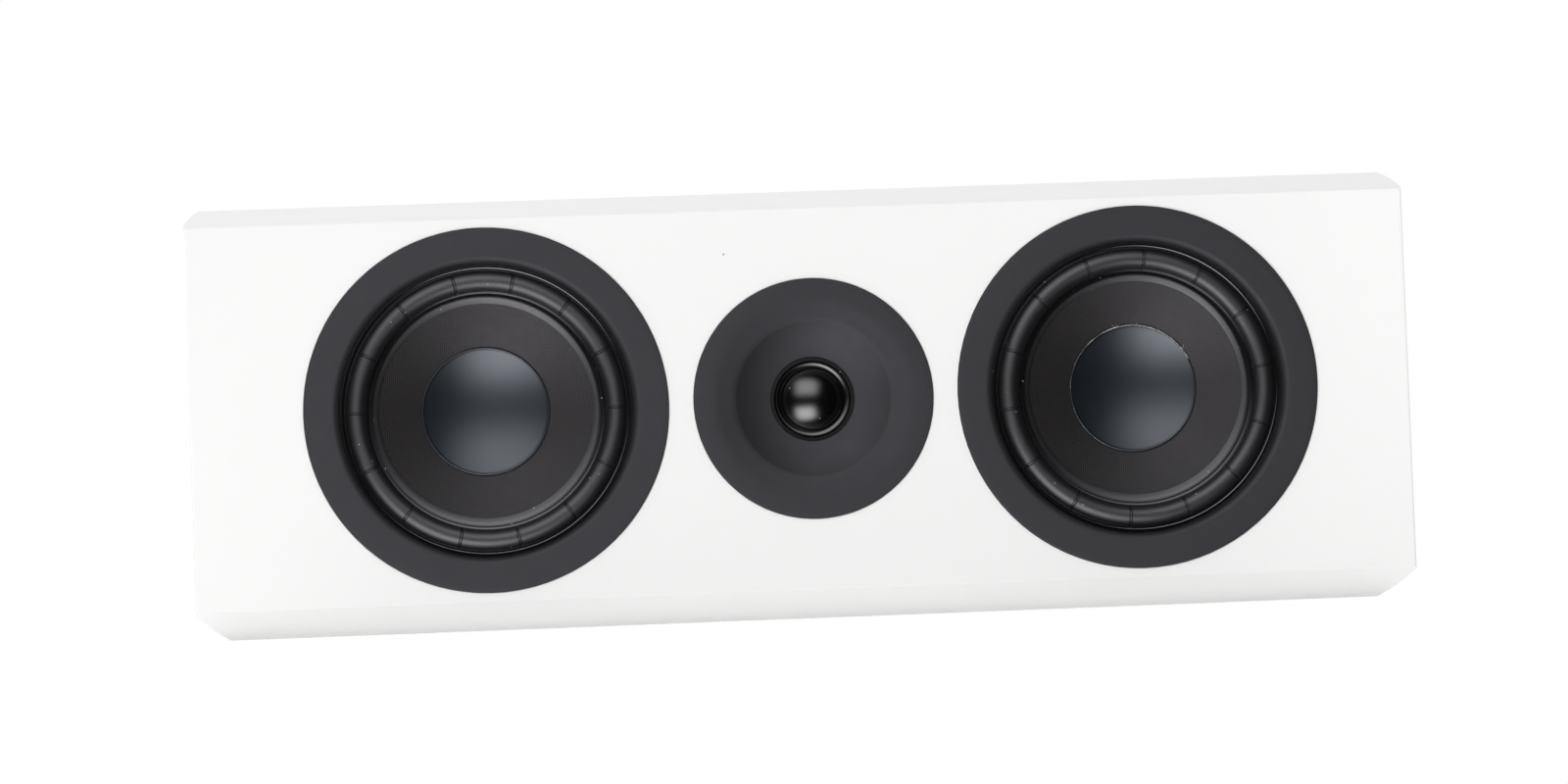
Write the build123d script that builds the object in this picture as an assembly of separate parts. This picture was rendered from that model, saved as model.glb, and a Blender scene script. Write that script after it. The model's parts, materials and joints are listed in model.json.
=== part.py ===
"""Centre channel speaker: white bevelled cabinet, two woofers, a dome tweeter and rear binding posts.

Frame: +X to the right seen from the front, -Y out of the front, +Z up, origin at the middle of the
underside. Each driver and the terminal plate are drawn in a local frame whose +Z points out of the
cabinet and whose zero lies on the cabinet's front or rear face. Millimetres.
"""

from build123d import *
import math
import os

os.makedirs("parts", exist_ok=True)

# Cabinet
cabinet_depth = 200.0
face_margin = 4.5
end_margin = 38.3
board_thickness = 12.0
bevel_depth = 20.0
top_bevel_height = 7.5
bottom_bevel_height = 11.0
top_corner_cut = 6.3
bottom_corner_cut = 13.5
corner_bulge = 0.8
edge_ease = 1.0
baffle_thickness = 18.0
baffle_edge_radius = 1.0
end_thickness = 12.0
rear_thickness = 15.0

# Braces and damping pads
brace_thickness = 12.0
brace_clearance = 10.5
brace_hole_radius = 22.0
brace_hole_count = 3
pad_gap = 12.0
pad_thickness = 22.0

# Driver row and common clearances
driver_web = 10.3
driver_row_offset = 4.0
trim_proud = 0.8
trim_edge = 0.4
fit_gap = 0.25
seat_gap = 0.3
hole_gap = 0.1

# Woofer cone and dust cap
cone_rim_radius = 46.6
cone_rim_depth = 8.0
cone_slope = 0.42
cone_wall = 1.0
cap_radius = 26.2
cap_edge = 0.6
cap_stand = 0.9
cap_dish = 5.2
cap_wall = 0.6

# Woofer surround
surround_flange = 0.9
roll_offset = 1.9
roll_width = 8.8
roll_wall = 1.2
valley_depth = 7.5
valley_width = 0.6
glue_band = 2.7
glue_edge = 0.6
bead_gap = 0.7
bead_width = 0.8
bead_height = 0.7
crease_count = 14
crease_width = 0.7
crease_depth = 0.45
crease_start_left = -0.5
crease_start_right = 7.7

# Woofer trim ring
trim_clearance = 2.7
trim_lip_radius = 3.0
trim_lip_wall = 1.6
trim_lip_depth = 5.2
trim_face_thickness = 2.6
trim_seat_depth = 3.0
trim_seat_width = 3.1
trim_overhang = 4.1

# Woofer basket and gasket
flange_width = 8.05
flange_thickness = 3.6
gasket_thickness = 0.8
flange_seat_depth = 6.5
ledge_depth = 6.4
ledge_overlap = 1.0
basket_throat_depth = 9.5
basket_rear_step = 3.1
basket_rear_thickness = 3.0
basket_arm_count = 6
basket_arm_angle = 22.0
basket_window_margin = 2.5
spider_shelf_thickness = 2.0

# Woofer screws
screw_count = 6
screw_head_radius = 3.2
screw_shank_radius = 1.5
screw_head_height = 1.8
screw_length = 14.0
screw_inset = 3.9

# Woofer coil and spider
former_outer = 19.7
former_wall = 0.5
winding_wall = 0.7
winding_length = 11.0
winding_tail = 1.0
spider_span = 22.3
spider_wall = 0.6
spider_wave = 1.2
spider_wave_count = 3
spider_collar = 3.0
spider_below_neck = 3.6

# Woofer motor
motor_below_spider = 14.0
plate_thickness = 6.0
plate_setback = 2.0
coil_gap = 0.5
pole_gap = 0.6
magnet_setback = 5.1
magnet_band = 17.0
magnet_thickness = 15.0
yoke_thickness = 6.0
pole_vent_radius = 6.0

# Tweeter dome, surround and coil
dome_radius = 13.0
dome_height = 5.9
dome_wall = 0.5
tweeter_roll_width = 2.8
tweeter_roll_height = 1.2
tweeter_roll_wall = 0.5
tweeter_flange_wall = 0.6
tweeter_flange_width = 4.2
tweeter_former_wall = 0.3
tweeter_former_length = 7.5
tweeter_winding_wall = 0.4
tweeter_winding_length = 3.5

# Tweeter front plate
guide_throat_gap = 1.6
guide_flare_width = 14.6
guide_shoulder_width = 9.0
guide_rim_width = 8.1
guide_break_depth = 0.7
guide_throat_depth = 6.2
guide_hollow = 0.7
guide_seat_depth = 3.0
guide_seat_width = 5.1
guide_body_depth = 8.6

# Tweeter chassis, gasket and screws
chassis_lip = 3.5
chassis_thickness = 3.0
tweeter_gasket_thickness = 0.6
tweeter_gasket_band = 9.0
tweeter_screw_count = 4
tweeter_screw_head_radius = 2.6
tweeter_screw_shank_radius = 1.3
tweeter_screw_head_height = 1.4
tweeter_screw_length = 7.5
tweeter_screw_inset = 4.0

# Tweeter motor
tweeter_plate_clearance = 2.5
tweeter_plate_thickness = 4.0
tweeter_plate_setback = 1.0
tweeter_magnet_setback = 4.1
tweeter_magnet_thickness = 10.0
tweeter_yoke_thickness = 4.0

# Terminal plate and its screws
terminal_width = 90.0
terminal_height = 56.0
terminal_thickness = 3.0
terminal_corner = 6.0
terminal_cut_width = 46.0
terminal_cut_height = 30.0
terminal_screw_head_radius = 3.0
terminal_screw_shank_radius = 1.4
terminal_screw_head_height = 1.6
terminal_screw_length = 11.0
terminal_screw_inset = 7.0

# Binding posts
post_spacing = 19.05
stud_radius = 3.5
stud_tail = 13.0
stud_recess = 0.5
socket_radius = 2.05
socket_depth = 15.0
post_base_radius = 8.0
post_base_height = 4.0
washer_radius = 6.5
washer_thickness = 1.0
knob_radius = 7.0
knob_length = 14.0
knob_flute_count = 12
knob_flute_radius = 0.9
nut_flats = 10.0
nut_thickness = 4.0

# Crossover
circuit_side_gap = 6.0
circuit_length = 118.0
circuit_thickness = 1.6
standoff_height = 6.0
standoff_radius = 3.0
standoff_inset = 6.0
inductor_radius = 17.0
inductor_bore = 8.0
inductor_height = 18.0
capacitor_radius = 8.0
capacitor_length = 34.0
capacitor_count = 3
resistor_length = 40.0
resistor_side = 9.0
resistor_count = 2
component_gap = 3.0

# Woofer radii and heights, worked out from the cone outwards and backwards
roll_inner_radius = cone_rim_radius + roll_offset
roll_outer_radius = roll_inner_radius + roll_width
ledge_inner_radius = roll_outer_radius - ledge_overlap
trim_opening = roll_outer_radius + trim_clearance
flange_inner = trim_opening + trim_lip_wall + fit_gap + seat_gap
basket_outer_radius = flange_inner + seat_gap
flange_radius = flange_inner + flange_width
trim_radius = flange_radius + trim_overhang
screw_circle = flange_radius - screw_inset
flange_top = flange_thickness + gasket_thickness - flange_seat_depth
neck_depth = cone_rim_depth + cone_slope * (cone_rim_radius - former_outer)
spider_depth = neck_depth + cone_wall + spider_below_neck
spider_shelf_inner = former_outer + spider_span
motor_front = -spider_depth - motor_below_spider
plate_back = motor_front - plate_thickness
magnet_back = plate_back - magnet_thickness
plate_inner = former_outer + winding_wall + coil_gap
magnet_inner = plate_inner + magnet_setback
magnet_radius = magnet_inner + magnet_band
plate_radius = magnet_radius - plate_setback
winding_low = (motor_front + plate_back - winding_length) / 2

# Tweeter radii and heights, worked out from the dome outwards and backwards
roll_edge = dome_radius + tweeter_roll_width
guide_throat_radius = roll_edge + guide_throat_gap
guide_break_radius = guide_throat_radius + guide_flare_width
guide_rim_inner = guide_break_radius + guide_shoulder_width
guide_radius = guide_rim_inner + guide_rim_width
guide_body_radius = guide_radius - guide_seat_width
chassis_radius = guide_body_radius + chassis_lip
chassis_back = -guide_body_depth - chassis_thickness
tweeter_seat_depth = tweeter_gasket_thickness - chassis_back
tweeter_hole_radius = chassis_radius - tweeter_gasket_band
tweeter_screw_circle = chassis_radius - tweeter_screw_inset
dome_foot = tweeter_flange_wall - guide_body_depth
winding_outer = dome_radius + tweeter_winding_wall
tweeter_plate_inner = winding_outer + coil_gap
tweeter_plate_radius = tweeter_hole_radius - tweeter_plate_clearance
tweeter_magnet_radius = tweeter_plate_radius - tweeter_plate_setback
tweeter_magnet_inner = tweeter_plate_inner + tweeter_magnet_setback
tweeter_plate_back = chassis_back - tweeter_plate_thickness
tweeter_magnet_back = tweeter_plate_back - tweeter_magnet_thickness

# Terminal heights above the rear face
knob_base = post_base_height + washer_thickness
post_reach = knob_base + knob_length
post_bore = stud_radius + hole_gap
post_places = {"red": post_spacing / 2, "black": -post_spacing / 2}

# Cabinet places, worked out from the drivers
driver_pitch = trim_radius + guide_radius + driver_web
cabinet_width = 2 * (driver_row_offset + driver_pitch + trim_radius + end_margin)
face_height = 2 * (trim_radius + face_margin)
face_low = bottom_bevel_height
face_high = face_low + face_height
cabinet_height = face_high + top_bevel_height
inner_low = board_thickness
inner_high = cabinet_height - board_thickness
row_z = (face_low + face_high) / 2
front_y = trim_proud - (trim_proud + cabinet_depth + post_reach) / 2
rear_y = front_y + cabinet_depth
inner_front_y = front_y + baffle_thickness
inner_rear_y = rear_y - rear_thickness
inner_half_width = cabinet_width / 2 - end_thickness
brace_offset = tweeter_hole_radius + brace_clearance + brace_thickness / 2
woofer_places = {"left": driver_row_offset - driver_pitch, "right": driver_row_offset + driver_pitch}
crease_starts = {"left": crease_start_left, "right": crease_start_right}

# Crossover places on the bottom board
circuit_width = 2 * brace_offset - brace_thickness - 2 * circuit_side_gap
circuit_rear_y = inner_rear_y - standoff_inset
circuit_y = circuit_rear_y - circuit_length / 2
circuit_low = inner_low + standoff_height
circuit_top = circuit_low + circuit_thickness
inductor_y = circuit_rear_y - component_gap - inductor_radius
capacitor_y = inductor_y - inductor_radius - component_gap - capacitor_length / 2
resistor_y = capacitor_y - capacitor_length / 2 - component_gap - resistor_side / 2


def front_place(x):
    """Local frame of a driver: on the front face at x, with its +Z out of the cabinet."""
    return Plane(origin=(x, front_y, row_z), x_dir=(1, 0, 0), z_dir=(0, -1, 0)).location


def rear_place(x):
    """Local frame on the rear face at x, with its +Z out of the cabinet."""
    return Plane(origin=(x, rear_y, row_z), x_dir=(-1, 0, 0), z_dir=(0, 1, 0)).location


def section(start, *steps):
    """Closed (radius, height) outline: a step is the next point, or a (middle, end) pair for an arc."""
    edges = []
    here = start
    for step in (*steps, start):
        if isinstance(step[0], tuple):
            middle, end = step
            edges.append(ThreePointArc(*[(r, 0, z) for r, z in (here, middle, end)]))
        else:
            end = step
            if end != here:
                edges.append(Line((here[0], 0, here[1]), (end[0], 0, end[1])))
        here = end
    return make_face(edges)


def turned(start, *steps, angle=360):
    """Solid swept by a section around the local Z axis."""
    return revolve(section(start, *steps), Axis.Z, revolution_arc=angle)


def ring(outer, inner, top, bottom):
    """Plain turned ring between two heights."""
    return turned((outer, top), (inner, top), (inner, bottom), (outer, bottom))


def disc(radius, top, bottom):
    """Plain turned disc between two heights."""
    return turned((0, top), (radius, top), (radius, bottom), (0, bottom))


def spread(shape, radius, count, start=0.0):
    """Copies of a shape on a circle around the local Z axis."""
    return [place * shape for place in PolarLocations(radius, count, start_angle=start)]


def slab(x_range, y_range, z_range):
    """Board between two limits on each axis."""
    sizes = [high - low for low, high in (x_range, y_range, z_range)]
    centre = [(high + low) / 2 for low, high in (x_range, y_range, z_range)]
    return Pos(*centre) * Box(*sizes)


def screw(head_radius, shank_radius, head_height, length, gap=0.0):
    """Countersunk screw with its head's top at zero, or with a gap, the hole that takes it."""
    outline = [(0, 0), (head_radius + gap, 0), (shank_radius + gap, -head_height)]
    outline += [(shank_radius + gap, -length - gap), (0, -length - gap)]
    return turned(*outline)


# Cabinet


def bevelled_board(inner, face, outer, corner_cut):
    """Top or bottom board: outer corners cut away at its ends, front bevelled, notched over the front board."""
    half = cabinet_width / 2
    rise = outer - face
    reach = math.hypot(rise, corner_cut)
    middle = half - corner_cut / 2 + corner_bulge * abs(rise) / reach
    middle_height = (face + outer) / 2 + math.copysign(corner_bulge * corner_cut / reach, rise)
    outline = [
        Line((-half, inner), (-half, face)),
        ThreePointArc((-half, face), (-middle, middle_height), (corner_cut - half, outer)),
        Line((corner_cut - half, outer), (half - corner_cut, outer)),
        ThreePointArc((half - corner_cut, outer), (middle, middle_height), (half, face)),
        Line((half, face), (half, inner)),
        Line((half, inner), (-half, inner)),
    ]
    standing = Plane(origin=(0, rear_y, 0), x_dir=(1, 0, 0), z_dir=(0, -1, 0))
    board = extrude(standing * make_face(outline), cabinet_depth)
    rear_edges = board.faces().sort_by(Axis.Y)[-1].edges()
    board = fillet([edge for edge in rear_edges if abs(edge.center().Z - inner) > edge_ease], edge_ease)
    notch = slab((-half, half), (front_y, inner_front_y), (min(inner, face), max(inner, face)))
    wedge = Polyline(
        (0, front_y, face),
        (0, front_y, outer),
        (0, front_y + bevel_depth, outer),
        (0, front_y + baffle_edge_radius, face),
        close=True,
    )
    return board - notch - extrude(make_face(wedge), half, dir=(1, 0, 0), both=True)


def woofer_seat():
    """Stepped hole for a woofer: trim ring, flange and basket, with pilots for the screws."""
    seat = disc(trim_radius + fit_gap, trim_proud, -trim_seat_depth)
    seat += disc(flange_radius + fit_gap, trim_proud, -flange_seat_depth)
    seat += disc(basket_outer_radius + fit_gap, trim_proud, -baffle_thickness)
    pilot = screw(0.0, screw_shank_radius, 0.0, screw_length, hole_gap)
    return seat + spread(Pos(0, 0, flange_top) * pilot, screw_circle, screw_count)


def tweeter_seat():
    """Stepped hole for the tweeter: front plate, chassis and motor, with pilots for the screws."""
    seat = disc(guide_radius + fit_gap, trim_proud, -guide_seat_depth)
    seat += disc(chassis_radius + fit_gap, trim_proud, -tweeter_seat_depth)
    seat += disc(tweeter_hole_radius, trim_proud, -baffle_thickness)
    pilot = screw(0.0, tweeter_screw_shank_radius, 0.0, tweeter_screw_length, hole_gap)
    return seat + spread(Pos(0, 0, -guide_body_depth) * pilot, tweeter_screw_circle, tweeter_screw_count)


def front_baffle():
    """Front board between the bevels, its front edges rounded, with stepped seats for the drivers."""
    half = cabinet_width / 2
    board = slab((-half, half), (front_y, inner_front_y), (face_low, face_high))
    board = fillet(board.faces().sort_by(Axis.Y)[0].edges(), baffle_edge_radius)
    for x in woofer_places.values():
        board -= front_place(x) * woofer_seat()
    return board - front_place(driver_row_offset) * tweeter_seat()


def end_panel(side):
    """End panel behind the front board, flush with the top and bottom boards' ends."""
    inner = side * inner_half_width
    outer = side * cabinet_width / 2
    x_range = (min(inner, outer), max(inner, outer))
    panel = slab(x_range, (inner_front_y, rear_y), (inner_low, inner_high))
    upright_edges = panel.edges().filter_by(Axis.Z).group_by(Axis.Y)[-1]
    return fillet(upright_edges.sort_by(Axis.X)[max(side, 0)], edge_ease)


def rear_panel():
    """Rear board between the ends, with a shallow seat and a cut-out for the terminal plate."""
    board = slab((-inner_half_width, inner_half_width), (inner_rear_y, rear_y), (inner_low, inner_high))
    seat_plan = RectangleRounded(
        terminal_width + 2 * fit_gap, terminal_height + 2 * fit_gap, terminal_corner + fit_gap
    )
    seat = extrude(seat_plan, -terminal_thickness)
    cut = extrude(Rectangle(terminal_cut_width, terminal_cut_height), -rear_thickness)
    pilot = screw(0.0, terminal_screw_shank_radius, 0.0, terminal_screw_length, hole_gap)
    pilots = [place * pilot for place in terminal_screw_places()]
    return board - rear_place(0) * (seat + cut + pilots)


def brace(side):
    """Upright brace between the front and rear boards, lightened by round holes."""
    middle = driver_row_offset + side * brace_offset
    x_range = (middle - brace_thickness / 2, middle + brace_thickness / 2)
    board = slab(x_range, (inner_front_y, inner_rear_y), (inner_low, inner_high))
    pitch = (inner_rear_y - inner_front_y) / brace_hole_count
    for number in range(brace_hole_count):
        y = inner_front_y + (number + 0.5) * pitch
        board -= Pos(middle, y, row_z) * Rot(0, 90, 0) * Cylinder(brace_hole_radius, 2 * brace_thickness)
    return board


def damping_pad(side):
    """Pad of wadding on the rear board, between a brace and an end panel."""
    brace_face = driver_row_offset + side * (brace_offset + brace_thickness / 2)
    near = brace_face + side * pad_gap
    far = side * (inner_half_width - pad_gap)
    y_range = (inner_rear_y - pad_thickness, inner_rear_y)
    return slab((min(near, far), max(near, far)), y_range, (inner_low + pad_gap, inner_high - pad_gap))


# Woofer


def cone_front(radius):
    """Height of the cone's front surface at a radius."""
    return -cone_rim_depth - cone_slope * (cone_rim_radius - radius)


def trim_ring():
    """Trim ring that hides the basket's screws: flat face, rounded inner lip, stepped seat."""
    top = trim_proud
    under = top - trim_face_thickness
    lip_arc = trim_lip_radius * (1 - math.sqrt(0.5))
    return turned(
        (trim_radius, -trim_seat_depth),
        (trim_radius, top - trim_edge),
        (trim_radius - trim_edge, top),
        (trim_opening + trim_lip_radius, top),
        ((trim_opening + lip_arc, top - lip_arc), (trim_opening, top - trim_lip_radius)),
        (trim_opening, -trim_lip_depth),
        (trim_opening + trim_lip_wall, -trim_lip_depth),
        (trim_opening + trim_lip_wall, under),
        (trim_radius - trim_seat_width, under),
        (trim_radius - trim_seat_width, -trim_seat_depth),
    )


def woofer_gasket():
    """Foam ring between the basket's flange and its seat."""
    bottom = -flange_seat_depth
    foam = ring(flange_radius, basket_outer_radius + fit_gap, bottom + gasket_thickness, bottom)
    hole = disc(screw_shank_radius + hole_gap, bottom + gasket_thickness, bottom)
    return foam - spread(hole, screw_circle, screw_count)


def woofer_basket():
    """Cast basket: screw flange, ledge for the surround, open arms, spider shelf and motor seat."""
    rear_top = motor_front + basket_rear_thickness
    rear_inner = plate_inner + basket_rear_step
    basket = turned(
        (flange_radius, flange_top),
        (flange_inner, flange_top),
        (flange_inner, -ledge_depth),
        (ledge_inner_radius, -ledge_depth),
        (ledge_inner_radius, -basket_throat_depth),
        (plate_radius - basket_rear_thickness, rear_top),
        (rear_inner, rear_top),
        (rear_inner, motor_front),
        (plate_radius, motor_front),
        (basket_outer_radius, -basket_throat_depth),
        (basket_outer_radius, flange_top - flange_thickness),
        (flange_radius, flange_top - flange_thickness),
    )
    window_high = -basket_throat_depth - basket_window_margin
    window_low = rear_top + basket_window_margin
    window = turned(
        (rear_inner, window_high),
        (flange_radius, window_high),
        (flange_radius, window_low),
        (rear_inner, window_low),
        angle=360 / basket_arm_count - basket_arm_angle,
    )
    basket -= spread(window, 0, basket_arm_count, basket_arm_angle / 2)
    shelf_low = -spider_depth - spider_shelf_thickness
    taper = (shelf_low + basket_throat_depth) / (motor_front + basket_throat_depth)
    shelf_outer = basket_outer_radius - taper * (basket_outer_radius - plate_radius) - seat_gap
    basket += ring(shelf_outer, spider_shelf_inner, -spider_depth, shelf_low)
    hole = screw(screw_head_radius, screw_shank_radius, screw_head_height, screw_length, hole_gap)
    return basket - spread(Pos(0, 0, flange_top) * hole, screw_circle, screw_count)


def woofer_screws():
    """Countersunk screws through the flange into the front board."""
    fixing = screw(screw_head_radius, screw_shank_radius, screw_head_height, screw_length)
    return spread(Pos(0, 0, flange_top) * fixing, screw_circle, screw_count)


def woofer_surround(crease_start):
    """Rubber half roll, creased across, with a bead on the basket's side and a glue band on the cone."""
    middle = (roll_outer_radius + roll_inner_radius) / 2
    half = roll_width / 2
    foot = surround_flange - ledge_depth
    crest = foot + half
    bead_inner = roll_outer_radius + bead_gap
    bead_outer = bead_inner + bead_width
    valley_radius = roll_inner_radius - valley_width
    valley_back = -valley_depth - roll_wall
    glue_inner = cone_rim_radius - glue_band
    glue_top = cone_front(glue_inner) + glue_edge
    glue_span = valley_radius - glue_inner
    glue_drop = -valley_depth - glue_top
    glue_curve = (glue_span**2 + glue_drop**2) / (2 * glue_drop)
    glue_tilt = math.asin(glue_span / glue_curve) / 2
    glue_middle = (
        valley_radius - glue_curve * math.sin(glue_tilt),
        glue_curve * (math.cos(glue_tilt) - 1) - valley_depth,
    )
    rubber = turned(
        (flange_inner - seat_gap, -ledge_depth),
        (flange_inner - seat_gap, foot),
        (bead_outer, foot),
        (((bead_inner + bead_outer) / 2, foot + bead_height), (bead_inner, foot)),
        (roll_outer_radius, foot),
        ((middle, crest), (roll_inner_radius, foot)),
        (roll_inner_radius, -valley_depth),
        (valley_radius, -valley_depth),
        (glue_middle, (glue_inner, glue_top)),
        (glue_inner, cone_front(glue_inner)),
        (cone_rim_radius, cone_front(cone_rim_radius)),
        (cone_rim_radius, valley_back),
        (roll_inner_radius + roll_wall, valley_back),
        (roll_inner_radius + roll_wall, foot),
        (middle, crest - roll_wall),
        (roll_outer_radius - roll_wall, -ledge_depth),
    )
    crease = turned(
        (roll_outer_radius + seat_gap, foot),
        (roll_outer_radius - crease_depth, foot),
        ((middle, crest - crease_depth), (roll_inner_radius + crease_depth, foot)),
        (roll_inner_radius - seat_gap, foot),
        ((middle, crest + seat_gap), (roll_outer_radius + seat_gap, foot)),
        angle=math.degrees(crease_width / middle),
    )
    return rubber - spread(crease, 0, crease_count, crease_start)


def woofer_cone():
    """Shallow woven cone from the surround's glue band to the coil former."""
    return turned(
        (cone_rim_radius, cone_front(cone_rim_radius)),
        (former_outer, cone_front(former_outer)),
        (former_outer, cone_front(former_outer) - cone_wall),
        (cone_rim_radius, cone_front(cone_rim_radius) - cone_wall),
    )


def woofer_dust_cap():
    """Dished cap whose upright edge stands on the front of the cone."""
    inner = cap_radius - cap_edge
    top = cone_front(cap_radius) + cap_stand
    sphere = (inner**2 + cap_dish**2) / (2 * cap_dish)
    outside = sphere + cap_wall
    centre = top - cap_dish + sphere
    tilt = math.asin(inner / sphere) / 2
    outer_tilt = math.asin(inner / outside) / 2
    return turned(
        (0, centre - sphere),
        ((sphere * math.sin(tilt), centre - sphere * math.cos(tilt)), (inner, top)),
        (cap_radius, top),
        (cap_radius, cone_front(cap_radius)),
        (inner, cone_front(inner)),
        (inner, centre - outside * math.cos(2 * outer_tilt)),
        ((outside * math.sin(outer_tilt), centre - outside * math.cos(outer_tilt)), (0, centre - outside)),
    )


def coil_former():
    """Tube that carries the winding, glued into the cone's neck."""
    return ring(former_outer, former_outer - former_wall, -neck_depth, winding_low - winding_tail)


def coil_winding():
    """Copper winding near the rear end of the former, centred on the gap's plate."""
    return ring(former_outer + winding_wall, former_outer, winding_low + winding_length, winding_low)


def spider():
    """Corrugated centring disc between the former and the basket's shelf."""
    top = -spider_depth + spider_wall
    first = former_outer + spider_collar
    pitch = (spider_shelf_inner - first) / (2 * spider_wave_count)
    upper = [(former_outer, top), (first, top)]
    for number in range(spider_wave_count):
        upper.append((first + (2 * number + 1) * pitch, top + spider_wave))
        upper.append((first + (2 * number + 2) * pitch, top))
    upper.append((spider_shelf_inner + spider_collar, top))
    lower = [(r, z - spider_wall) for r, z in reversed(upper)]
    return turned(*upper, *lower)


def woofer_top_plate():
    """Steel front plate of the motor, behind the basket."""
    return ring(plate_radius, plate_inner, motor_front, plate_back)


def woofer_magnet():
    """Ferrite ring between the motor's two plates."""
    return ring(magnet_radius, magnet_inner, plate_back, magnet_back)


def woofer_yoke():
    """Rear plate and vented pole in one piece."""
    pole = former_outer - former_wall - pole_gap
    return turned(
        (pole_vent_radius, motor_front),
        (pole, motor_front),
        (pole, magnet_back),
        (plate_radius, magnet_back),
        (plate_radius, magnet_back - yoke_thickness),
        (pole_vent_radius, magnet_back - yoke_thickness),
    )


# Tweeter


def tweeter_guide():
    """Dished front plate: flat rim, gentle shoulder, hollow flare to the throat, seat behind."""
    top = trim_proud
    break_height = -guide_break_depth
    flare_middle = (guide_break_radius + guide_throat_radius) / 2
    flare_height = (break_height - guide_throat_depth) / 2 - guide_hollow
    pocket = roll_edge + tweeter_flange_width + hole_gap
    return turned(
        (guide_radius, -guide_seat_depth),
        (guide_radius, top - trim_edge),
        (guide_radius - trim_edge, top),
        (guide_rim_inner, top),
        (guide_break_radius, break_height),
        ((flare_middle, flare_height), (guide_throat_radius, -guide_throat_depth)),
        (guide_throat_radius, dome_foot),
        (pocket, dome_foot),
        (pocket, -guide_body_depth),
        (guide_body_radius, -guide_body_depth),
        (guide_body_radius, -guide_seat_depth),
    )


def tweeter_chassis():
    """Mounting ring behind the front plate, screwed to the front board."""
    plate = ring(chassis_radius, roll_edge - tweeter_roll_wall, -guide_body_depth, chassis_back)
    hole = screw(
        tweeter_screw_head_radius,
        tweeter_screw_shank_radius,
        tweeter_screw_head_height,
        tweeter_screw_length,
        hole_gap,
    )
    places = spread(Pos(0, 0, -guide_body_depth) * hole, tweeter_screw_circle, tweeter_screw_count)
    return plate - places


def tweeter_gasket():
    """Foam ring between the chassis and its seat."""
    bottom = -tweeter_seat_depth
    foam = ring(chassis_radius, tweeter_hole_radius, chassis_back, bottom)
    hole = disc(tweeter_screw_shank_radius + hole_gap, chassis_back, bottom)
    return foam - spread(hole, tweeter_screw_circle, tweeter_screw_count)


def tweeter_screws():
    """Countersunk screws through the chassis into the front board."""
    fixing = screw(
        tweeter_screw_head_radius,
        tweeter_screw_shank_radius,
        tweeter_screw_head_height,
        tweeter_screw_length,
    )
    return spread(Pos(0, 0, -guide_body_depth) * fixing, tweeter_screw_circle, tweeter_screw_count)


def tweeter_surround():
    """Soft roll around the dome, its flange clamped between the front plate and the chassis."""
    middle = (dome_radius + roll_edge) / 2
    crest = dome_foot + tweeter_roll_height
    low = dome_foot - tweeter_flange_wall
    return turned(
        (dome_radius, low),
        (dome_radius, dome_foot),
        ((middle, crest), (roll_edge, dome_foot)),
        (roll_edge + tweeter_flange_width, dome_foot),
        (roll_edge + tweeter_flange_width, low),
        (roll_edge - tweeter_roll_wall, low),
        (middle, crest - tweeter_roll_wall),
        (dome_radius + tweeter_roll_wall, low),
    )


def tweeter_dome():
    """Thin soft dome on its voice coil."""
    base = dome_foot - tweeter_flange_wall
    sphere = (dome_radius**2 + dome_height**2) / (2 * dome_height)
    inside = sphere - dome_wall
    centre = base + dome_height - sphere
    inner = math.sqrt(inside**2 - (base - centre) ** 2)
    tilt = math.asin(dome_radius / sphere) / 2
    inner_tilt = math.asin(inner / inside) / 2
    return turned(
        (0, centre + sphere),
        ((sphere * math.sin(tilt), centre + sphere * math.cos(tilt)), (dome_radius, base)),
        (inner, base),
        ((inside * math.sin(inner_tilt), centre + inside * math.cos(inner_tilt)), (0, centre + inside)),
    )


def tweeter_coil():
    """Voice coil under the dome: thin former with its winding, wound as one piece."""
    top = dome_foot - tweeter_flange_wall
    low = top - tweeter_former_length
    return turned(
        (dome_radius - tweeter_former_wall, top),
        (dome_radius, top),
        (dome_radius, low + tweeter_winding_length),
        (winding_outer, low + tweeter_winding_length),
        (winding_outer, low),
        (dome_radius - tweeter_former_wall, low),
    )


def tweeter_top_plate():
    """Steel front plate of the tweeter's motor."""
    return ring(tweeter_plate_radius, tweeter_plate_inner, chassis_back, tweeter_plate_back)


def tweeter_magnet():
    """Ferrite ring of the tweeter's motor."""
    return ring(tweeter_magnet_radius, tweeter_magnet_inner, tweeter_plate_back, tweeter_magnet_back)


def tweeter_yoke():
    """Rear plate and solid pole of the tweeter's motor in one piece."""
    pole = dome_radius - tweeter_former_wall - pole_gap
    return turned(
        (0, chassis_back),
        (pole, chassis_back),
        (pole, tweeter_magnet_back),
        (tweeter_magnet_radius, tweeter_magnet_back),
        (tweeter_magnet_radius, tweeter_magnet_back - tweeter_yoke_thickness),
        (0, tweeter_magnet_back - tweeter_yoke_thickness),
    )


# Terminal plate and binding posts


def terminal_screw_places():
    """Places of the four screws, near the plate's corners."""
    across = terminal_width - 2 * terminal_screw_inset
    up = terminal_height - 2 * terminal_screw_inset
    return GridLocations(across, up, 2, 2).locations


def terminal_plate():
    """Moulded plate sunk flush into the rear board, drilled for the posts and screws."""
    plate = extrude(RectangleRounded(terminal_width, terminal_height, terminal_corner), -terminal_thickness)
    hole = disc(post_bore, 0, -terminal_thickness)
    countersink = screw(
        terminal_screw_head_radius,
        terminal_screw_shank_radius,
        terminal_screw_head_height,
        terminal_screw_length,
        hole_gap,
    )
    holes = [Pos(x, 0, 0) * hole for x in post_places.values()]
    return plate - holes - [place * countersink for place in terminal_screw_places()]


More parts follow.
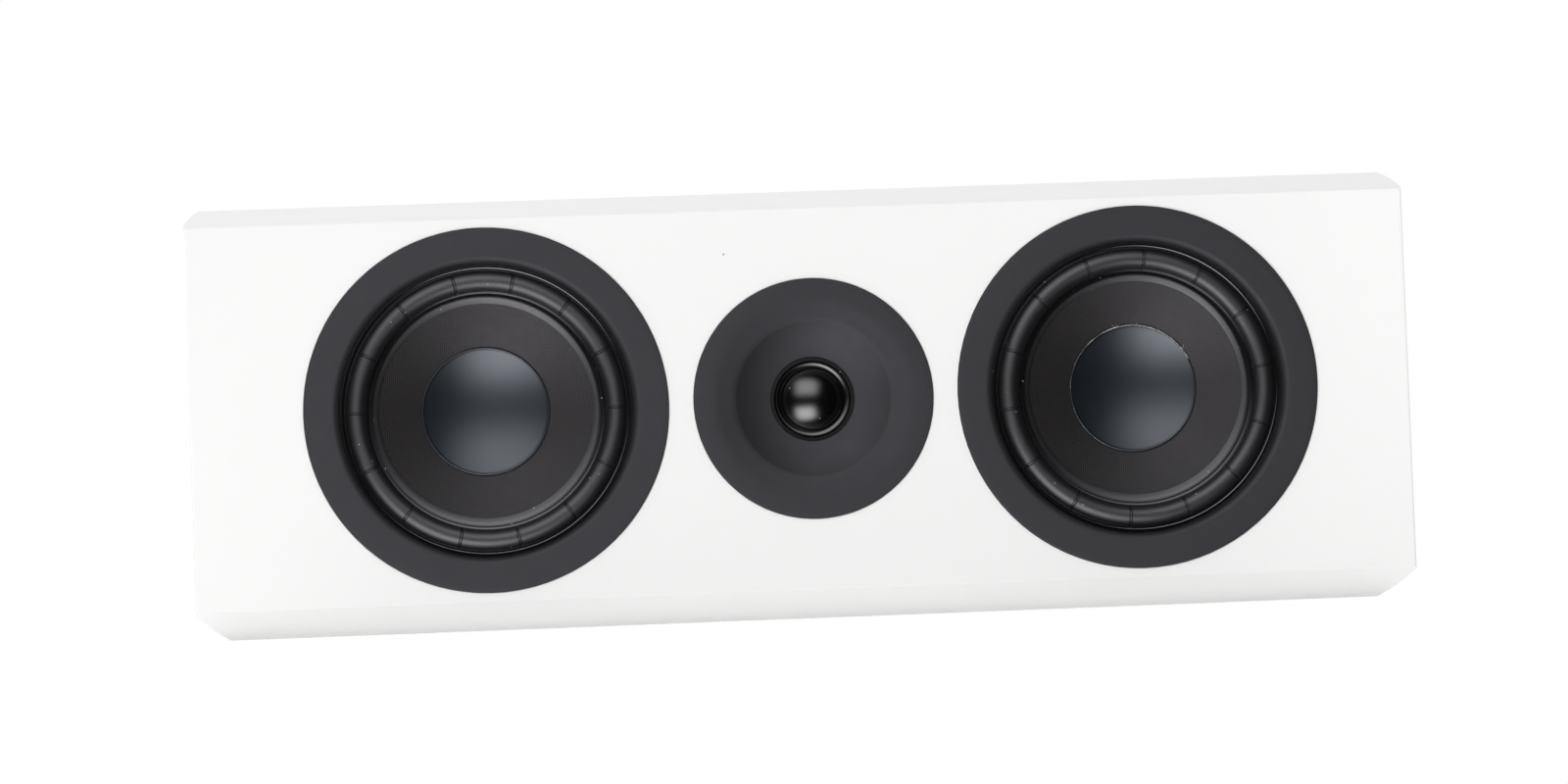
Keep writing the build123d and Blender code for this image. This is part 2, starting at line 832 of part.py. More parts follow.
def terminal_screws():
    """Four countersunk screws that hold the terminal plate."""
    fixing = screw(
        terminal_screw_head_radius,
        terminal_screw_shank_radius,
        terminal_screw_head_height,
        terminal_screw_length,
    )
    return [place * fixing for place in terminal_screw_places()]


def post_stud():
    """Metal stud with a plug socket in its outer end."""
    top = post_reach - stud_recess
    return turned(
        (0, -stud_tail),
        (stud_radius, -stud_tail),
        (stud_radius, top),
        (socket_radius, top),
        (socket_radius, top - socket_depth),
        (0, top - socket_depth),
    )


def post_base():
    """Insulating collar on the plate, under the washer."""
    return ring(post_base_radius, post_bore, post_base_height, 0)


def post_bases():
    """The two posts' collars."""
    return [Pos(x, 0, 0) * post_base() for x in post_places.values()]


def post_washer():
    """Metal washer that the knob presses down."""
    return ring(washer_radius, post_bore, knob_base, post_base_height)


def post_knob():
    """Fluted clamping knob, open at its outer end for the plug."""
    barrel = disc(knob_radius, post_reach, knob_base)
    flute = disc(knob_flute_radius, post_reach, knob_base)
    barrel -= spread(flute, knob_radius, knob_flute_count)
    return barrel - disc(post_bore, post_reach, knob_base)


def post_nuts():
    """Hexagon nuts that clamp the two studs behind the plate."""
    plan = RegularPolygon(nut_flats / 2, 6, major_radius=False) - Circle(post_bore)
    nut = Pos(0, 0, -terminal_thickness) * extrude(plan, -nut_thickness)
    return [Pos(x, 0, 0) * nut for x in post_places.values()]


# Crossover


def standoff_places():
    """Places of the standoffs, near the circuit board's corners."""
    across = circuit_width - 2 * standoff_inset
    along = circuit_length - 2 * standoff_inset
    grid = GridLocations(across, along, 2, 2).locations
    return [Pos(driver_row_offset, circuit_y, 0) * place for place in grid]


def crossover_board():
    """Circuit board on its standoffs."""
    x_range = (driver_row_offset - circuit_width / 2, driver_row_offset + circuit_width / 2)
    return slab(x_range, (circuit_rear_y - circuit_length, circuit_rear_y), (circuit_low, circuit_top))


def crossover_standoffs():
    """Four round standoffs between the bottom board and the circuit board."""
    post = disc(standoff_radius, circuit_low, inner_low)
    return [place * post for place in standoff_places()]


def inductors():
    """Two air-cored coils standing side by side."""
    coil = ring(inductor_radius, inductor_bore, circuit_top + inductor_height, circuit_top)
    reach = inductor_radius + component_gap / 2
    return [Pos(driver_row_offset + side * reach, inductor_y, 0) * coil for side in (-1, 1)]


def capacitors():
    """Film capacitors lying side by side across the board."""
    body = Rot(90, 0, 0) * Cylinder(capacitor_radius, capacitor_length)
    pitch = 2 * capacitor_radius + component_gap
    offsets = [(number - (capacitor_count - 1) / 2) * pitch for number in range(capacitor_count)]
    height = circuit_top + capacitor_radius
    return [Pos(driver_row_offset + offset, capacitor_y, height) * body for offset in offsets]


def resistors():
    """Cement resistors in a row."""
    body = Box(resistor_length, resistor_side, resistor_side)
    pitch = resistor_side + component_gap
    height = circuit_top + resistor_side / 2
    rows = [resistor_y - number * pitch for number in range(resistor_count)]
    return [Pos(driver_row_offset, row, height) * body for row in rows]


# Writing the pieces


def write(name, shape, place=None):
    """Write one piece, or a group of like pieces, to its own file."""
    solids = shape if isinstance(shape, list) else [shape]
    solids = [solid for item in solids for solid in item.solids()]
    if place is not None:
        solids = [place * solid for solid in solids]
    body = solids[0] if len(solids) == 1 else Compound(children=solids)
    body.label = name
    export_step(body, f"parts/{name}.step")


write("cabinet_top", bevelled_board(inner_high, face_high, cabinet_height, top_corner_cut))
write("cabinet_bottom", bevelled_board(inner_low, face_low, 0.0, bottom_corner_cut))
write("front_baffle", front_baffle())
write("rear_panel", rear_panel())
write("left_end_panel", end_panel(-1))
write("right_end_panel", end_panel(1))
write("braces", [brace(side) for side in (-1, 1)])
write("damping_pads", [damping_pad(side) for side in (-1, 1)])

for side_name, woofer_x in woofer_places.items():
    woofer_place = front_place(woofer_x)
    write(f"{side_name}_woofer_trim_ring", trim_ring(), woofer_place)
    write(f"{side_name}_woofer_gasket", woofer_gasket(), woofer_place)
    write(f"{side_name}_woofer_basket", woofer_basket(), woofer_place)
    write(f"{side_name}_woofer_screws", woofer_screws(), woofer_place)
    write(f"{side_name}_woofer_surround", woofer_surround(crease_starts[side_name]), woofer_place)
    write(f"{side_name}_woofer_cone", woofer_cone(), woofer_place)
    write(f"{side_name}_woofer_dust_cap", woofer_dust_cap(), woofer_place)
    write(f"{side_name}_woofer_coil_former", coil_former(), woofer_place)
    write(f"{side_name}_woofer_coil_winding", coil_winding(), woofer_place)
    write(f"{side_name}_woofer_spider", spider(), woofer_place)
    write(f"{side_name}_woofer_top_plate", woofer_top_plate(), woofer_place)
    write(f"{side_name}_woofer_magnet", woofer_magnet(), woofer_place)
    write(f"{side_name}_woofer_yoke", woofer_yoke(), woofer_place)

tweeter_place = front_place(driver_row_offset)
write("tweeter_guide", tweeter_guide(), tweeter_place)
write("tweeter_chassis", tweeter_chassis(), tweeter_place)
write("tweeter_gasket", tweeter_gasket(), tweeter_place)
write("tweeter_screws", tweeter_screws(), tweeter_place)
write("tweeter_surround", tweeter_surround(), tweeter_place)
write("tweeter_dome", tweeter_dome(), tweeter_place)
write("tweeter_coil", tweeter_coil(), tweeter_place)
write("tweeter_top_plate", tweeter_top_plate(), tweeter_place)
write("tweeter_magnet", tweeter_magnet(), tweeter_place)
write("tweeter_yoke", tweeter_yoke(), tweeter_place)

terminal_place = rear_place(0)
write("terminal_plate", terminal_plate(), terminal_place)
write("terminal_screws", terminal_screws(), terminal_place)
write("post_bases", post_bases(), terminal_place)
write("post_nuts", post_nuts(), terminal_place)
for colour, post_x in post_places.items():
    post_place = terminal_place * Pos(post_x, 0, 0)
    write(f"{colour}_post_stud", post_stud(), post_place)
    write(f"{colour}_post_washer", post_washer(), post_place)
    write(f"{colour}_post_knob", post_knob(), post_place)

write("crossover_board", crossover_board())
write("crossover_standoffs", crossover_standoffs())
write("crossover_inductors", inductors())
write("crossover_capacitors", capacitors())
write("crossover_resistors", resistors())
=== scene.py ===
"""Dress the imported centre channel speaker: finishes, driver fronts, terminals, light and camera."""
import json
import logging
import math
import random
from dataclasses import dataclass, field
from enum import Enum
from typing import Callable, Sequence

import bmesh
import bpy
from mathutils import Matrix, Vector, noise


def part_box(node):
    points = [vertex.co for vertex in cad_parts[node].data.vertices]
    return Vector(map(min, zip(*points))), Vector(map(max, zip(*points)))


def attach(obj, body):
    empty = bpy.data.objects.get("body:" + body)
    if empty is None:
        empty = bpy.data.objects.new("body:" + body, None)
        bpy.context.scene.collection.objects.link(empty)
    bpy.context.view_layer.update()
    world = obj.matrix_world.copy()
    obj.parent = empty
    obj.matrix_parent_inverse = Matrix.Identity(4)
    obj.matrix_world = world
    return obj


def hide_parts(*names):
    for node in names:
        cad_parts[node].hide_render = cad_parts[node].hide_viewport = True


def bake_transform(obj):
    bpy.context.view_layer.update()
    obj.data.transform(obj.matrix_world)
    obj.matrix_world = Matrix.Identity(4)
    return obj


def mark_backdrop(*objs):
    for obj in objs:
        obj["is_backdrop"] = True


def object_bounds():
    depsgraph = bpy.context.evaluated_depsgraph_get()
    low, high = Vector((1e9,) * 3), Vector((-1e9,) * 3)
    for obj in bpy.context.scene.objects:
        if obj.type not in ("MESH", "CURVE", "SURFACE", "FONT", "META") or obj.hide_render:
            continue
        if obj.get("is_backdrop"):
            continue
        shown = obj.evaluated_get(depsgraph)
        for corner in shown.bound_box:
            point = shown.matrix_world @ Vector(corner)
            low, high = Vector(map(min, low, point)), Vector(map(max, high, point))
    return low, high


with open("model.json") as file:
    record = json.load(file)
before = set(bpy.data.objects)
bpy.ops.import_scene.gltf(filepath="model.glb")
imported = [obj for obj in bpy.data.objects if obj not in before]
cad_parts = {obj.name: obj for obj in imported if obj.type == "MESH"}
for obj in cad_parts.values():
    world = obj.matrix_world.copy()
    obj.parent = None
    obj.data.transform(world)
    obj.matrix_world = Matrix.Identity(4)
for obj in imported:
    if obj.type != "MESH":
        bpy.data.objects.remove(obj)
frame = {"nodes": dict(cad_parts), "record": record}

CAD_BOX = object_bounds()
ROUND_STEPS = 256
SHARP_ANGLE = math.radians(32)
SEAM_MARK = "seam"
NEARLY_ZERO = 1e-6

Point = tuple[float, float]
Colour = tuple[float, float, float]
Node = bpy.types.Node
Socket = bpy.types.NodeSocket
Piece = bpy.types.Object
Rings = Sequence[Sequence[Sequence[float]]]

log = logging.getLogger("speaker")


class Side(Enum):
    """The two woofers, as seen from the front."""

    LEFT = "left"
    RIGHT = "right"


class Post(Enum):
    """The two binding posts."""

    RED = "red"
    BLACK = "black"


class Slot(Enum):
    """The finishes, by the name of their slot in the record."""

    WHITE_LACQUER = "white_lacquer"
    BARE_BOARD = "bare_board"
    WADDING = "wadding"
    TRIM_DARK = "trim_dark"
    SURROUND_RUBBER = "surround_rubber"
    CONE_WEAVE = "cone_weave"
    CAP_SATIN = "cap_satin"
    DOME_COATED = "dome_coated"
    CAST_BASKET = "cast_basket"
    GASKET_FOAM = "gasket_foam"
    PLATED_STEEL = "plated_steel"
    FERRITE = "ferrite"
    COPPER_WIRE = "copper_wire"
    FORMER_FOIL = "former_foil"
    SPIDER_CLOTH = "spider_cloth"
    BLACK_SCREW = "black_screw"
    TERMINAL_BLACK = "terminal_black"
    POST_METAL = "post_metal"
    KNOB_RED = "knob_red"
    KNOB_BLACK = "knob_black"
    CIRCUIT_BOARD = "circuit_board"
    STANDOFF_NYLON = "standoff_nylon"
    CAPACITOR_FILM = "capacitor_film"
    RESISTOR_CEMENT = "resistor_cement"


class ShaderNet:
    """Node tree of one material, round a single Principled surface."""

    def __init__(self, name: str) -> None:
        """Start a material of that name."""
        self.material = bpy.data.materials.new(name)
        self.material.use_nodes = True
        self.tree = self.material.node_tree
        self.surface = self.tree.nodes["Principled BSDF"]

    def add(self, kind: str, settings: dict[str, object] | None = None, **inputs: object) -> Node:
        """Add a node.

        Args:
            kind: The node's type, without its ShaderNode prefix.
            settings: Values for the node's own properties.
            inputs: Values, or sockets to link, for its inputs, by name; _ stands for a space.

        Returns:
            The new node.
        """
        node = self.tree.nodes.new("ShaderNode" + kind)
        for key, value in (settings or {}).items():
            setattr(node, key, value)
        for key, value in inputs.items():
            self.feed(node.inputs[key.replace("_", " ")], value)
        return node

    def feed(self, target: Socket, value: object) -> None:
        """Link a socket to another socket, or set its value."""
        if isinstance(value, bpy.types.NodeSocket):
            self.tree.links.new(value, target)
        else:
            target.default_value = value

    def math(self, operation: str, *values: object) -> Socket:
        """Add a Math node and return its result."""
        node = self.tree.nodes.new("ShaderNodeMath")
        node.operation = operation
        for target, value in zip(node.inputs, values):
            self.feed(target, value)
        return node.outputs[0]

    def set(self, **inputs: object) -> None:
        """Set or link inputs of the Principled surface, by name; _ stands for a space."""
        for key, value in inputs.items():
            self.feed(self.surface.inputs[key.replace("_", " ")], value)

    def place(self) -> Socket:
        """Coordinates in metres, fixed to the piece."""
        return self.add("TexCoord").outputs["Object"]

    def noise(self, size: float, detail: float = 2.0, twist: float = 0.0) -> Socket:
        """Smooth noise with features of about that size in metres."""
        texture = self.add("TexNoise", Vector=self.place(), Scale=1.0 / size, Detail=detail, Distortion=twist)
        return texture.outputs["Fac"]

    def ridges(self, run: Socket) -> Socket:
        """Height of round ridges side by side, one to each unit of a run."""
        return self.math("ABSOLUTE", self.math("SINE", self.math("MULTIPLY", run, math.pi)))

    def blend(self, factor: Socket, first: Colour, second: Colour) -> Socket:
        """Colour that goes from the first to the second with the factor."""
        mix = self.add("Mix", {"data_type": "RGBA"})
        self.feed(mix.inputs[0], factor)
        self.feed(mix.inputs[6], (*first, 1.0))
        self.feed(mix.inputs[7], (*second, 1.0))
        return mix.outputs[2]

    def cover(self, factor: Socket, under: Socket, colour: Colour) -> Socket:
        """A colour laid over another where the factor is 1."""
        mix = self.add("Mix", {"data_type": "RGBA"})
        self.feed(mix.inputs[0], factor)
        self.feed(mix.inputs[6], under)
        self.feed(mix.inputs[7], (*colour, 1.0))
        return mix.outputs[2]

    def span(self, value: Socket, low: float, high: float) -> Socket:
        """A 0 to 1 value mapped to a range."""
        return self.add("MapRange", Value=value, To_Min=low, To_Max=high).outputs["Result"]

    def bump(self, height: Socket, depth: float) -> None:
        """Raise the surface by a 0 to 1 height of that depth in metres."""
        node = self.add("Bump", Height=height, Distance=depth, Strength=1.0)
        self.set(Normal=node.outputs["Normal"])


@dataclass(frozen=True)
class Finish:
    """A moulded, cast or painted surface: colour that wanders a little, gloss, and fine grain."""

    colour: Colour
    roughness: float
    metallic: float = 0.0
    specular: float = 0.5
    ior: float = 1.5
    tint: Colour = (1.0, 1.0, 1.0)
    coat: float = 0.0
    coat_roughness: float = 0.1
    sheen: float = 0.0
    mottle: float = 0.08
    mottle_size: float = 0.02
    gloss_drift: float = 0.05
    grain_size: float = 0.0005
    grain_depth: float = 0.00002
    gloss_patch: float = 0.4

    def material(self, name: str) -> bpy.types.Material:
        """Build the finish.

        Args:
            name: Name of the material.

        Returns:
            The material.
        """
        net = ShaderNet(name)
        net.set(Metallic=self.metallic, Specular_IOR_Level=self.specular, IOR=self.ior)
        net.set(Specular_Tint=(*self.tint, 1.0))
        net.set(Coat_Weight=self.coat, Coat_Roughness=self.coat_roughness, Sheen_Weight=self.sheen)
        net.set(Base_Color=self.paint(net), Roughness=self.gloss(net))
        net.bump(self.relief(net), self.grain_depth)
        return net.material

    def shade(self, share: float) -> Colour:
        """The colour made lighter or darker by a share."""
        return tuple(min(1.0, channel * (1.0 + share)) for channel in self.colour)

    def paint(self, net: ShaderNet) -> Socket:
        """Colour socket: a slow drift about the finish's colour."""
        return net.blend(net.noise(self.mottle_size), self.shade(-self.mottle), self.shade(self.mottle))

    def gloss(self, net: ShaderNet) -> Socket:
        """Roughness socket: a slow drift about the finish's roughness."""
        drift = net.noise(self.mottle_size * self.gloss_patch)
        return net.span(drift, self.roughness - self.gloss_drift, self.roughness + self.gloss_drift)

    def relief(self, net: ShaderNet) -> Socket:
        """Height socket: fine random grain."""
        return net.noise(self.grain_size)


@dataclass(frozen=True)
class WovenFinish(Finish):
    """Plain weave: threads that pass over and under each other, bound with resin."""

    thread: float = 0.00055
    slant: float = 0.0
    # painted shade: how far the gaps between threads are darkened
    painted_gap_shade: float = -0.5
    crown_low: float = 0.5
    height_drift: float = 0.2

    def crossing(self, net: ShaderNet) -> tuple[Socket, Socket, Socket]:
        """Rounded heights of the two sets of threads, and which of them is on top."""
        turn = net.add("Mapping", Vector=net.place(), Rotation=(0.0, self.slant, 0.0))
        split = net.add("SeparateXYZ", Vector=turn.outputs[0])
        across = net.math("DIVIDE", split.outputs["X"], self.thread)
        along = net.math("DIVIDE", split.outputs["Z"], self.thread)
        cells = net.math("ADD", net.math("FLOOR", across), net.math("FLOOR", along))
        return net.ridges(across), net.ridges(along), net.math("PINGPONG", cells, 1.0)

    def relief(self, net: ShaderNet) -> Socket:
        """Height socket: the thread on top, crowned along its run."""
        return self.top_thread(net, *self.crossing(net))

    def top_thread(self, net: ShaderNet, warp: Socket, weft: Socket, over: Socket) -> Socket:
        """Height of whichever thread lies on top at a crossing."""
        rise = 1 - self.crown_low
        warp_up = net.math("MULTIPLY", warp, net.math("MULTIPLY_ADD", weft, rise, self.crown_low))
        weft_up = net.math("MULTIPLY", weft, net.math("MULTIPLY_ADD", warp, rise, self.crown_low))
        mix = net.add("Mix", {"data_type": "FLOAT"})
        net.feed(mix.inputs[0], over)
        net.feed(mix.inputs[2], warp_up)
        net.feed(mix.inputs[3], weft_up)
        return mix.outputs[0]

    def paint(self, net: ShaderNet) -> Socket:
        """Colour socket: painted shade that follows the threads' height, dark in the gaps between threads and
        lighter on their crowns, with a slow drift.
        """
        height = self.top_thread(net, *self.crossing(net))
        patches = net.span(net.noise(self.mottle_size), 1 - self.height_drift, 1 + self.height_drift)
        # painted shade: the colour darkens with the threads' height, down into the gaps
        drift = net.math("MULTIPLY", height, patches)
        return net.blend(drift, self.shade(self.painted_gap_shade), self.shade(self.mottle))


@dataclass(frozen=True)
class DustedFinish(Finish):
    """A smooth dark surface with a few pale specks of dust on it."""

    dust_colour: Colour = (0.42, 0.42, 0.40)
    dust_spacing: float = 0.005
    dust_radius: float = 0.00025

    def paint(self, net: ShaderNet) -> Socket:
        """Colour socket: the finish's own colour, and a pale speck round each of some scattered points."""
        cells = net.add("TexVoronoi", Vector=net.place(), Scale=1.0 / self.dust_spacing)
        inside = net.math("LESS_THAN", cells.outputs["Distance"], self.dust_radius / self.dust_spacing)
        return net.cover(inside, super().paint(net), self.dust_colour)


@dataclass(frozen=True)
class SurroundFinish(DustedFinish):
    """Satin rubber, polished by the mould where its roll meets the flange and the cone."""

    seam_roughness: float = 0.16

    def gloss(self, net: ShaderNet) -> Socket:
        """Roughness socket: the rubber's own, and smoother along the seams that the mesh marks."""
        seam = net.add("Attribute", {"attribute_name": SEAM_MARK})
        mix = net.add("Mix", {"data_type": "FLOAT"})
        net.feed(mix.inputs[0], seam.outputs["Fac"])
        net.feed(mix.inputs[2], super().gloss(net))
        net.feed(mix.inputs[3], self.seam_roughness)
        return mix.outputs[0]


@dataclass(frozen=True)
class FibreFinish(Finish):
    """Felted or pressed fibres: streaks of lighter and darker strands."""

    strand_size: float = 0.0012
    strand_twist: float = 1.5
    strand_contrast: float = 3.0
    paint_detail: float = 6.0
    relief_detail: float = 8.0

    def paint(self, net: ShaderNet) -> Socket:
        """Colour socket: lighter and darker strands, drawn by twisted noise."""
        strands = net.noise(self.strand_size, self.paint_detail, self.strand_twist)
        share = self.strand_contrast * self.mottle
        return net.blend(strands, self.shade(-share), self.shade(share))

    def relief(self, net: ShaderNet) -> Socket:
        """Height socket: the same strands in more detail, standing up."""
        return net.noise(self.strand_size, self.relief_detail, self.strand_twist)


@dataclass(frozen=True)
class WireFinish(Finish):
    """Close turns of enamelled wire, wound round one of the piece's axes."""

    wire: float = 0.0008
    along: str = "Y"

    def relief(self, net: ShaderNet) -> Socket:
        """Height socket: round wires side by side."""
        split = net.add("SeparateXYZ", Vector=net.place())
        return net.ridges(net.math("DIVIDE", split.outputs[self.along], self.wire))


@dataclass(frozen=True)
class SpeckledLacquer(Finish):
    """Sprayed lacquer with a faint orange peel, and one dark speck left in it."""

    speck: tuple[float, float, float] = (0.0, 0.0, 0.0)
    speck_radius: float = 0.0004
    speck_colour: Colour = (0.3, 0.29, 0.28)

    def paint(self, net: ShaderNet) -> Socket:
        """Colour socket: the lacquer, and the speck at its place."""
        drift = super().paint(net)
        away = net.add("VectorMath", {"operation": "DISTANCE"})
        net.feed(away.inputs[0], net.place())
        net.feed(away.inputs[1], self.speck)
        inside = net.math("LESS_THAN", away.outputs["Value"], self.speck_radius)
        return net.cover(inside, drift, self.speck_colour)


@dataclass
class FinishBook:
    """Every finish of the speaker, made once and shared by the pieces."""

    speck: tuple[float, float, float]
    made: dict[Slot, bpy.types.Material] = field(default_factory=dict)

    def finishes(self) -> dict[Slot, Finish]:
        """The finish of each slot."""
        return {
            Slot.WHITE_LACQUER: SpeckledLacquer(
                (0.905, 0.905, 0.90), 0.40, specular=0.2,
                mottle=0.006, mottle_size=0.15, grain_size=0.0011, grain_depth=0.000012,
                speck=self.speck,
            ),
            Slot.BARE_BOARD: FibreFinish((0.45, 0.31, 0.19), 0.85, mottle=0.06, grain_depth=0.0001),
            Slot.WADDING: FibreFinish(
                (0.55, 0.55, 0.52), 0.95, sheen=0.4, strand_size=0.004, grain_depth=0.0012,
            ),
            Slot.TRIM_DARK: Finish(
                (0.0082, 0.0078, 0.0090), 0.61, specular=0.98, tint=(0.93, 0.905, 1.0),
                mottle=0.05, grain_size=0.0003,
            ),
            Slot.SURROUND_RUBBER: SurroundFinish(
                (0.003, 0.003, 0.0031), 0.45, specular=1.0, ior=1.61, tint=(0.94, 0.92, 1.0),
                gloss_drift=0.04, mottle_size=0.006,
            ),
            Slot.CONE_WEAVE: WovenFinish(
                (0.0085, 0.0072, 0.0074), 0.50, specular=0.75, tint=(0.98, 0.945, 1.0),
                mottle=0.9, mottle_size=0.012, grain_depth=0.00007,
                # painted shade in the gaps between threads, with lighter crowns
                thread=0.0008, slant=math.radians(-6), painted_gap_shade=-0.9,
            ),
            Slot.CAP_SATIN: Finish(
                (0.003, 0.0056, 0.0086), 0.37, specular=1.0, ior=1.57, tint=(0.86, 0.905, 1.0),
                mottle=0.05, gloss_drift=0.02,
            ),
            Slot.DOME_COATED: DustedFinish(
                (0.0006, 0.0006, 0.0007), 0.22, specular=0.9, ior=1.65, gloss_drift=0.02
            ),
            Slot.CAST_BASKET: Finish((0.03, 0.03, 0.031), 0.6, grain_size=0.001, grain_depth=0.00006),
            Slot.GASKET_FOAM: Finish((0.03, 0.03, 0.03), 0.95, grain_size=0.0009, grain_depth=0.0003),
            Slot.PLATED_STEEL: Finish(
                (0.62, 0.62, 0.60), 0.34, metallic=1.0, mottle=0.06, gloss_drift=0.08,
            ),
            Slot.FERRITE: Finish((0.05, 0.05, 0.052), 0.62, grain_size=0.0004, grain_depth=0.00004),
            Slot.COPPER_WIRE: WireFinish(
                (0.72, 0.30, 0.13), 0.28, metallic=1.0, coat=0.6, grain_depth=0.0003,
            ),
            Slot.FORMER_FOIL: Finish((0.72, 0.72, 0.73), 0.30, metallic=1.0, gloss_drift=0.08),
            Slot.SPIDER_CLOTH: WovenFinish(
                (0.50, 0.33, 0.13), 0.85, mottle=0.2, thread=0.0007, grain_depth=0.0002,
            ),
            Slot.BLACK_SCREW: Finish((0.03, 0.03, 0.032), 0.42, metallic=0.6, gloss_drift=0.08),
            Slot.TERMINAL_BLACK: Finish(
                (0.022, 0.022, 0.023), 0.55, grain_size=0.0006, grain_depth=0.00005,
            ),
            Slot.POST_METAL: Finish(
                (0.88, 0.62, 0.25), 0.22, metallic=1.0, mottle=0.04, gloss_drift=0.05,
            ),
            Slot.KNOB_RED: Finish((0.50, 0.012, 0.012), 0.30, coat=0.4, mottle=0.04),
            Slot.KNOB_BLACK: Finish((0.016, 0.016, 0.017), 0.32, coat=0.4, mottle=0.04),
            Slot.CIRCUIT_BOARD: Finish((0.04, 0.16, 0.06), 0.4, mottle=0.15, mottle_size=0.006),
            Slot.STANDOFF_NYLON: Finish((0.75, 0.74, 0.70), 0.5, sheen=0.1),
            Slot.CAPACITOR_FILM: Finish((0.58, 0.38, 0.05), 0.30, coat=0.3),
            Slot.RESISTOR_CEMENT: FibreFinish(
                (0.72, 0.70, 0.66), 0.9, strand_size=0.0006, grain_depth=0.00008,
            ),
        }

    def material(self, slot: Slot) -> bpy.types.Material:
        """The material of a slot, built when it is first asked for."""
        if slot not in self.made:
            self.made[slot] = self.finishes()[slot].material(slot.value)
        return self.made[slot]

    def dress(self, piece: Piece, slot: Slot) -> Piece:
        """Give a piece one finish.

        Args:
            piece: The piece.
            slot: Its finish.

        Returns:
            The piece.
        """
        piece.data.materials.clear()
        piece.data.materials.append(self.material(slot))
        return piece

    def new(self, piece: Piece, slot: Slot) -> Piece:
        """Give a new piece one finish."""
        return self.dress(piece, slot)


class Outline:
    """A closed (radius, height) outline of straight runs and arcs, in metres."""

    def __init__(self, radius: float, height: float) -> None:
        """Start the outline at a point."""
        self.points: list[Point] = [(radius, height)]

    def line(self, radius: float, height: float, steps: int = 1) -> "Outline":
        """Go straight to a point, in a number of steps."""
        here = self.points[-1]
        for step in range(1, steps + 1):
            share = step / steps
            self.points.append((here[0] + (radius - here[0]) * share, here[1] + (height - here[1]) * share))
        return self

    def arc(self, middle: Point, end: Point, steps: int = 12) -> "Outline":
        """Go along the circle through a middle point to an end point.

        Args:
            middle: A point on the arc, between its ends.
            end: The arc's end.
            steps: Number of straight steps that follow the arc.

        Returns:
            The outline.
        """
        start = self.points[-1]
        centre = circle_centre(start, middle, end)
        radius = math.dist(centre, start)
        angles = [math.atan2(point[1] - centre[1], point[0] - centre[0]) for point in (start, middle, end)]
        sweep = (angles[2] - angles[0]) % math.tau
        if (angles[1] - angles[0]) % math.tau > sweep:
            sweep -= math.tau
        for step in range(1, steps + 1):
            angle = angles[0] + sweep * step / steps
            self.points.append((centre[0] + radius * math.cos(angle), centre[1] + radius * math.sin(angle)))
        return self


def circle_centre(a: Point, b: Point, c: Point) -> Point:
    """Centre of the circle through three points."""
    twice = 2 * (a[0] * (b[1] - c[1]) + b[0] * (c[1] - a[1]) + c[0] * (a[1] - b[1]))
    squares = [x * x + y * y for x, y in (a, b, c)]
    x = squares[0] * (b[1] - c[1]) + squares[1] * (c[1] - a[1]) + squares[2] * (a[1] - b[1])
    y = squares[0] * (c[0] - b[0]) + squares[1] * (a[0] - c[0]) + squares[2] * (b[0] - a[0])
    return x / twice, y / twice


def front_frame(x: float, y: float, z: float) -> Matrix:
    """Frame of a driver: its +Z leaves the front of the cabinet."""
    return Matrix(((1, 0, 0, x), (0, 0, -1, y), (0, 1, 0, z), (0, 0, 0, 1)))


def rear_frame(x: float, y: float, z: float) -> Matrix:
    """Frame on the rear face: its +Z leaves the back of the cabinet."""
    return Matrix(((-1, 0, 0, x), (0, 0, 1, y), (0, 1, 0, z), (0, 0, 0, 1)))


def finish_mesh(name: str, mesh: bmesh.types.BMesh, place: Matrix) -> Piece:
    """Turn a mesh under construction into a piece, smooth but for its sharp edges.

    Args:
        name: Name of the piece.
        mesh: The mesh, in local coordinates; it is freed.
        place: The local frame.

    Returns:
        The piece, in the row frame.
    """
    bmesh.ops.recalc_face_normals(mesh, faces=mesh.faces)
    mesh.transform(place)
    data = bpy.data.meshes.new(name)
    mesh.to_mesh(data)
    mesh.free()
    data.polygons.foreach_set("use_smooth", [True] * len(data.polygons))
    data.set_sharp_from_angle(angle=SHARP_ANGLE)
    piece = bpy.data.objects.new(name, data)
    bpy.context.scene.collection.objects.link(piece)
    return piece


def add_loft(mesh: bmesh.types.BMesh, rings: Rings, closed: bool) -> None:
    """Add rings of points to a mesh, and join each to the next with faces.

    Args:
        mesh: The mesh under construction.
        rings: Rings of equally many points; a ring of one point closes an end.
        closed: Whether the last ring joins the first.
    """
    loops = [[mesh.verts.new(point) for point in ring] for ring in rings]
    steps = max(len(loop) for loop in loops)
    for near, far in zip(loops, loops[1:] + (loops[:1] if closed else [])):
        if len(near) == 1 and len(far) == 1:
            continue
        for step in range(steps):
            corners = []
            for loop, index in ((near, step), (near, step + 1), (far, step + 1), (far, step)):
                corner = loop[index % len(loop)]
                if corner not in corners:
                    corners.append(corner)
            mesh.faces.new(corners)


def lofted(name: str, rings: Rings, place: Matrix, closed: bool = True) -> Piece:
    """Join rings of points, one after the other, with faces.

    Args:
        name: Name of the piece.
        rings: Rings of equally many points; a ring of one point closes an end.
        place: The local frame.
        closed: Whether the last ring joins the first.

    Returns:
        The piece.
    """
    mesh = bmesh.new()
    add_loft(mesh, rings, closed)
    return finish_mesh(name, mesh, place)


def turned(name: str, outline: Outline, place: Matrix, steps: int = ROUND_STEPS) -> Piece:
    """Sweep a closed outline all the way round the local Z axis.

    Args:
        name: Name of the piece.
        outline: The outline; a point at radius 0 lies on the axis.
        place: The local frame.
        steps: Number of steps round the axis.

    Returns:
        The piece.
    """
    angles = [math.tau * step / steps for step in range(steps)]
    rings = []
    for radius, height in outline.points:
        around = angles if radius > NEARLY_ZERO else angles[:1]
        rings.append([(radius * math.cos(angle), radius * math.sin(angle), height) for angle in around])
    return lofted(name, rings, place)


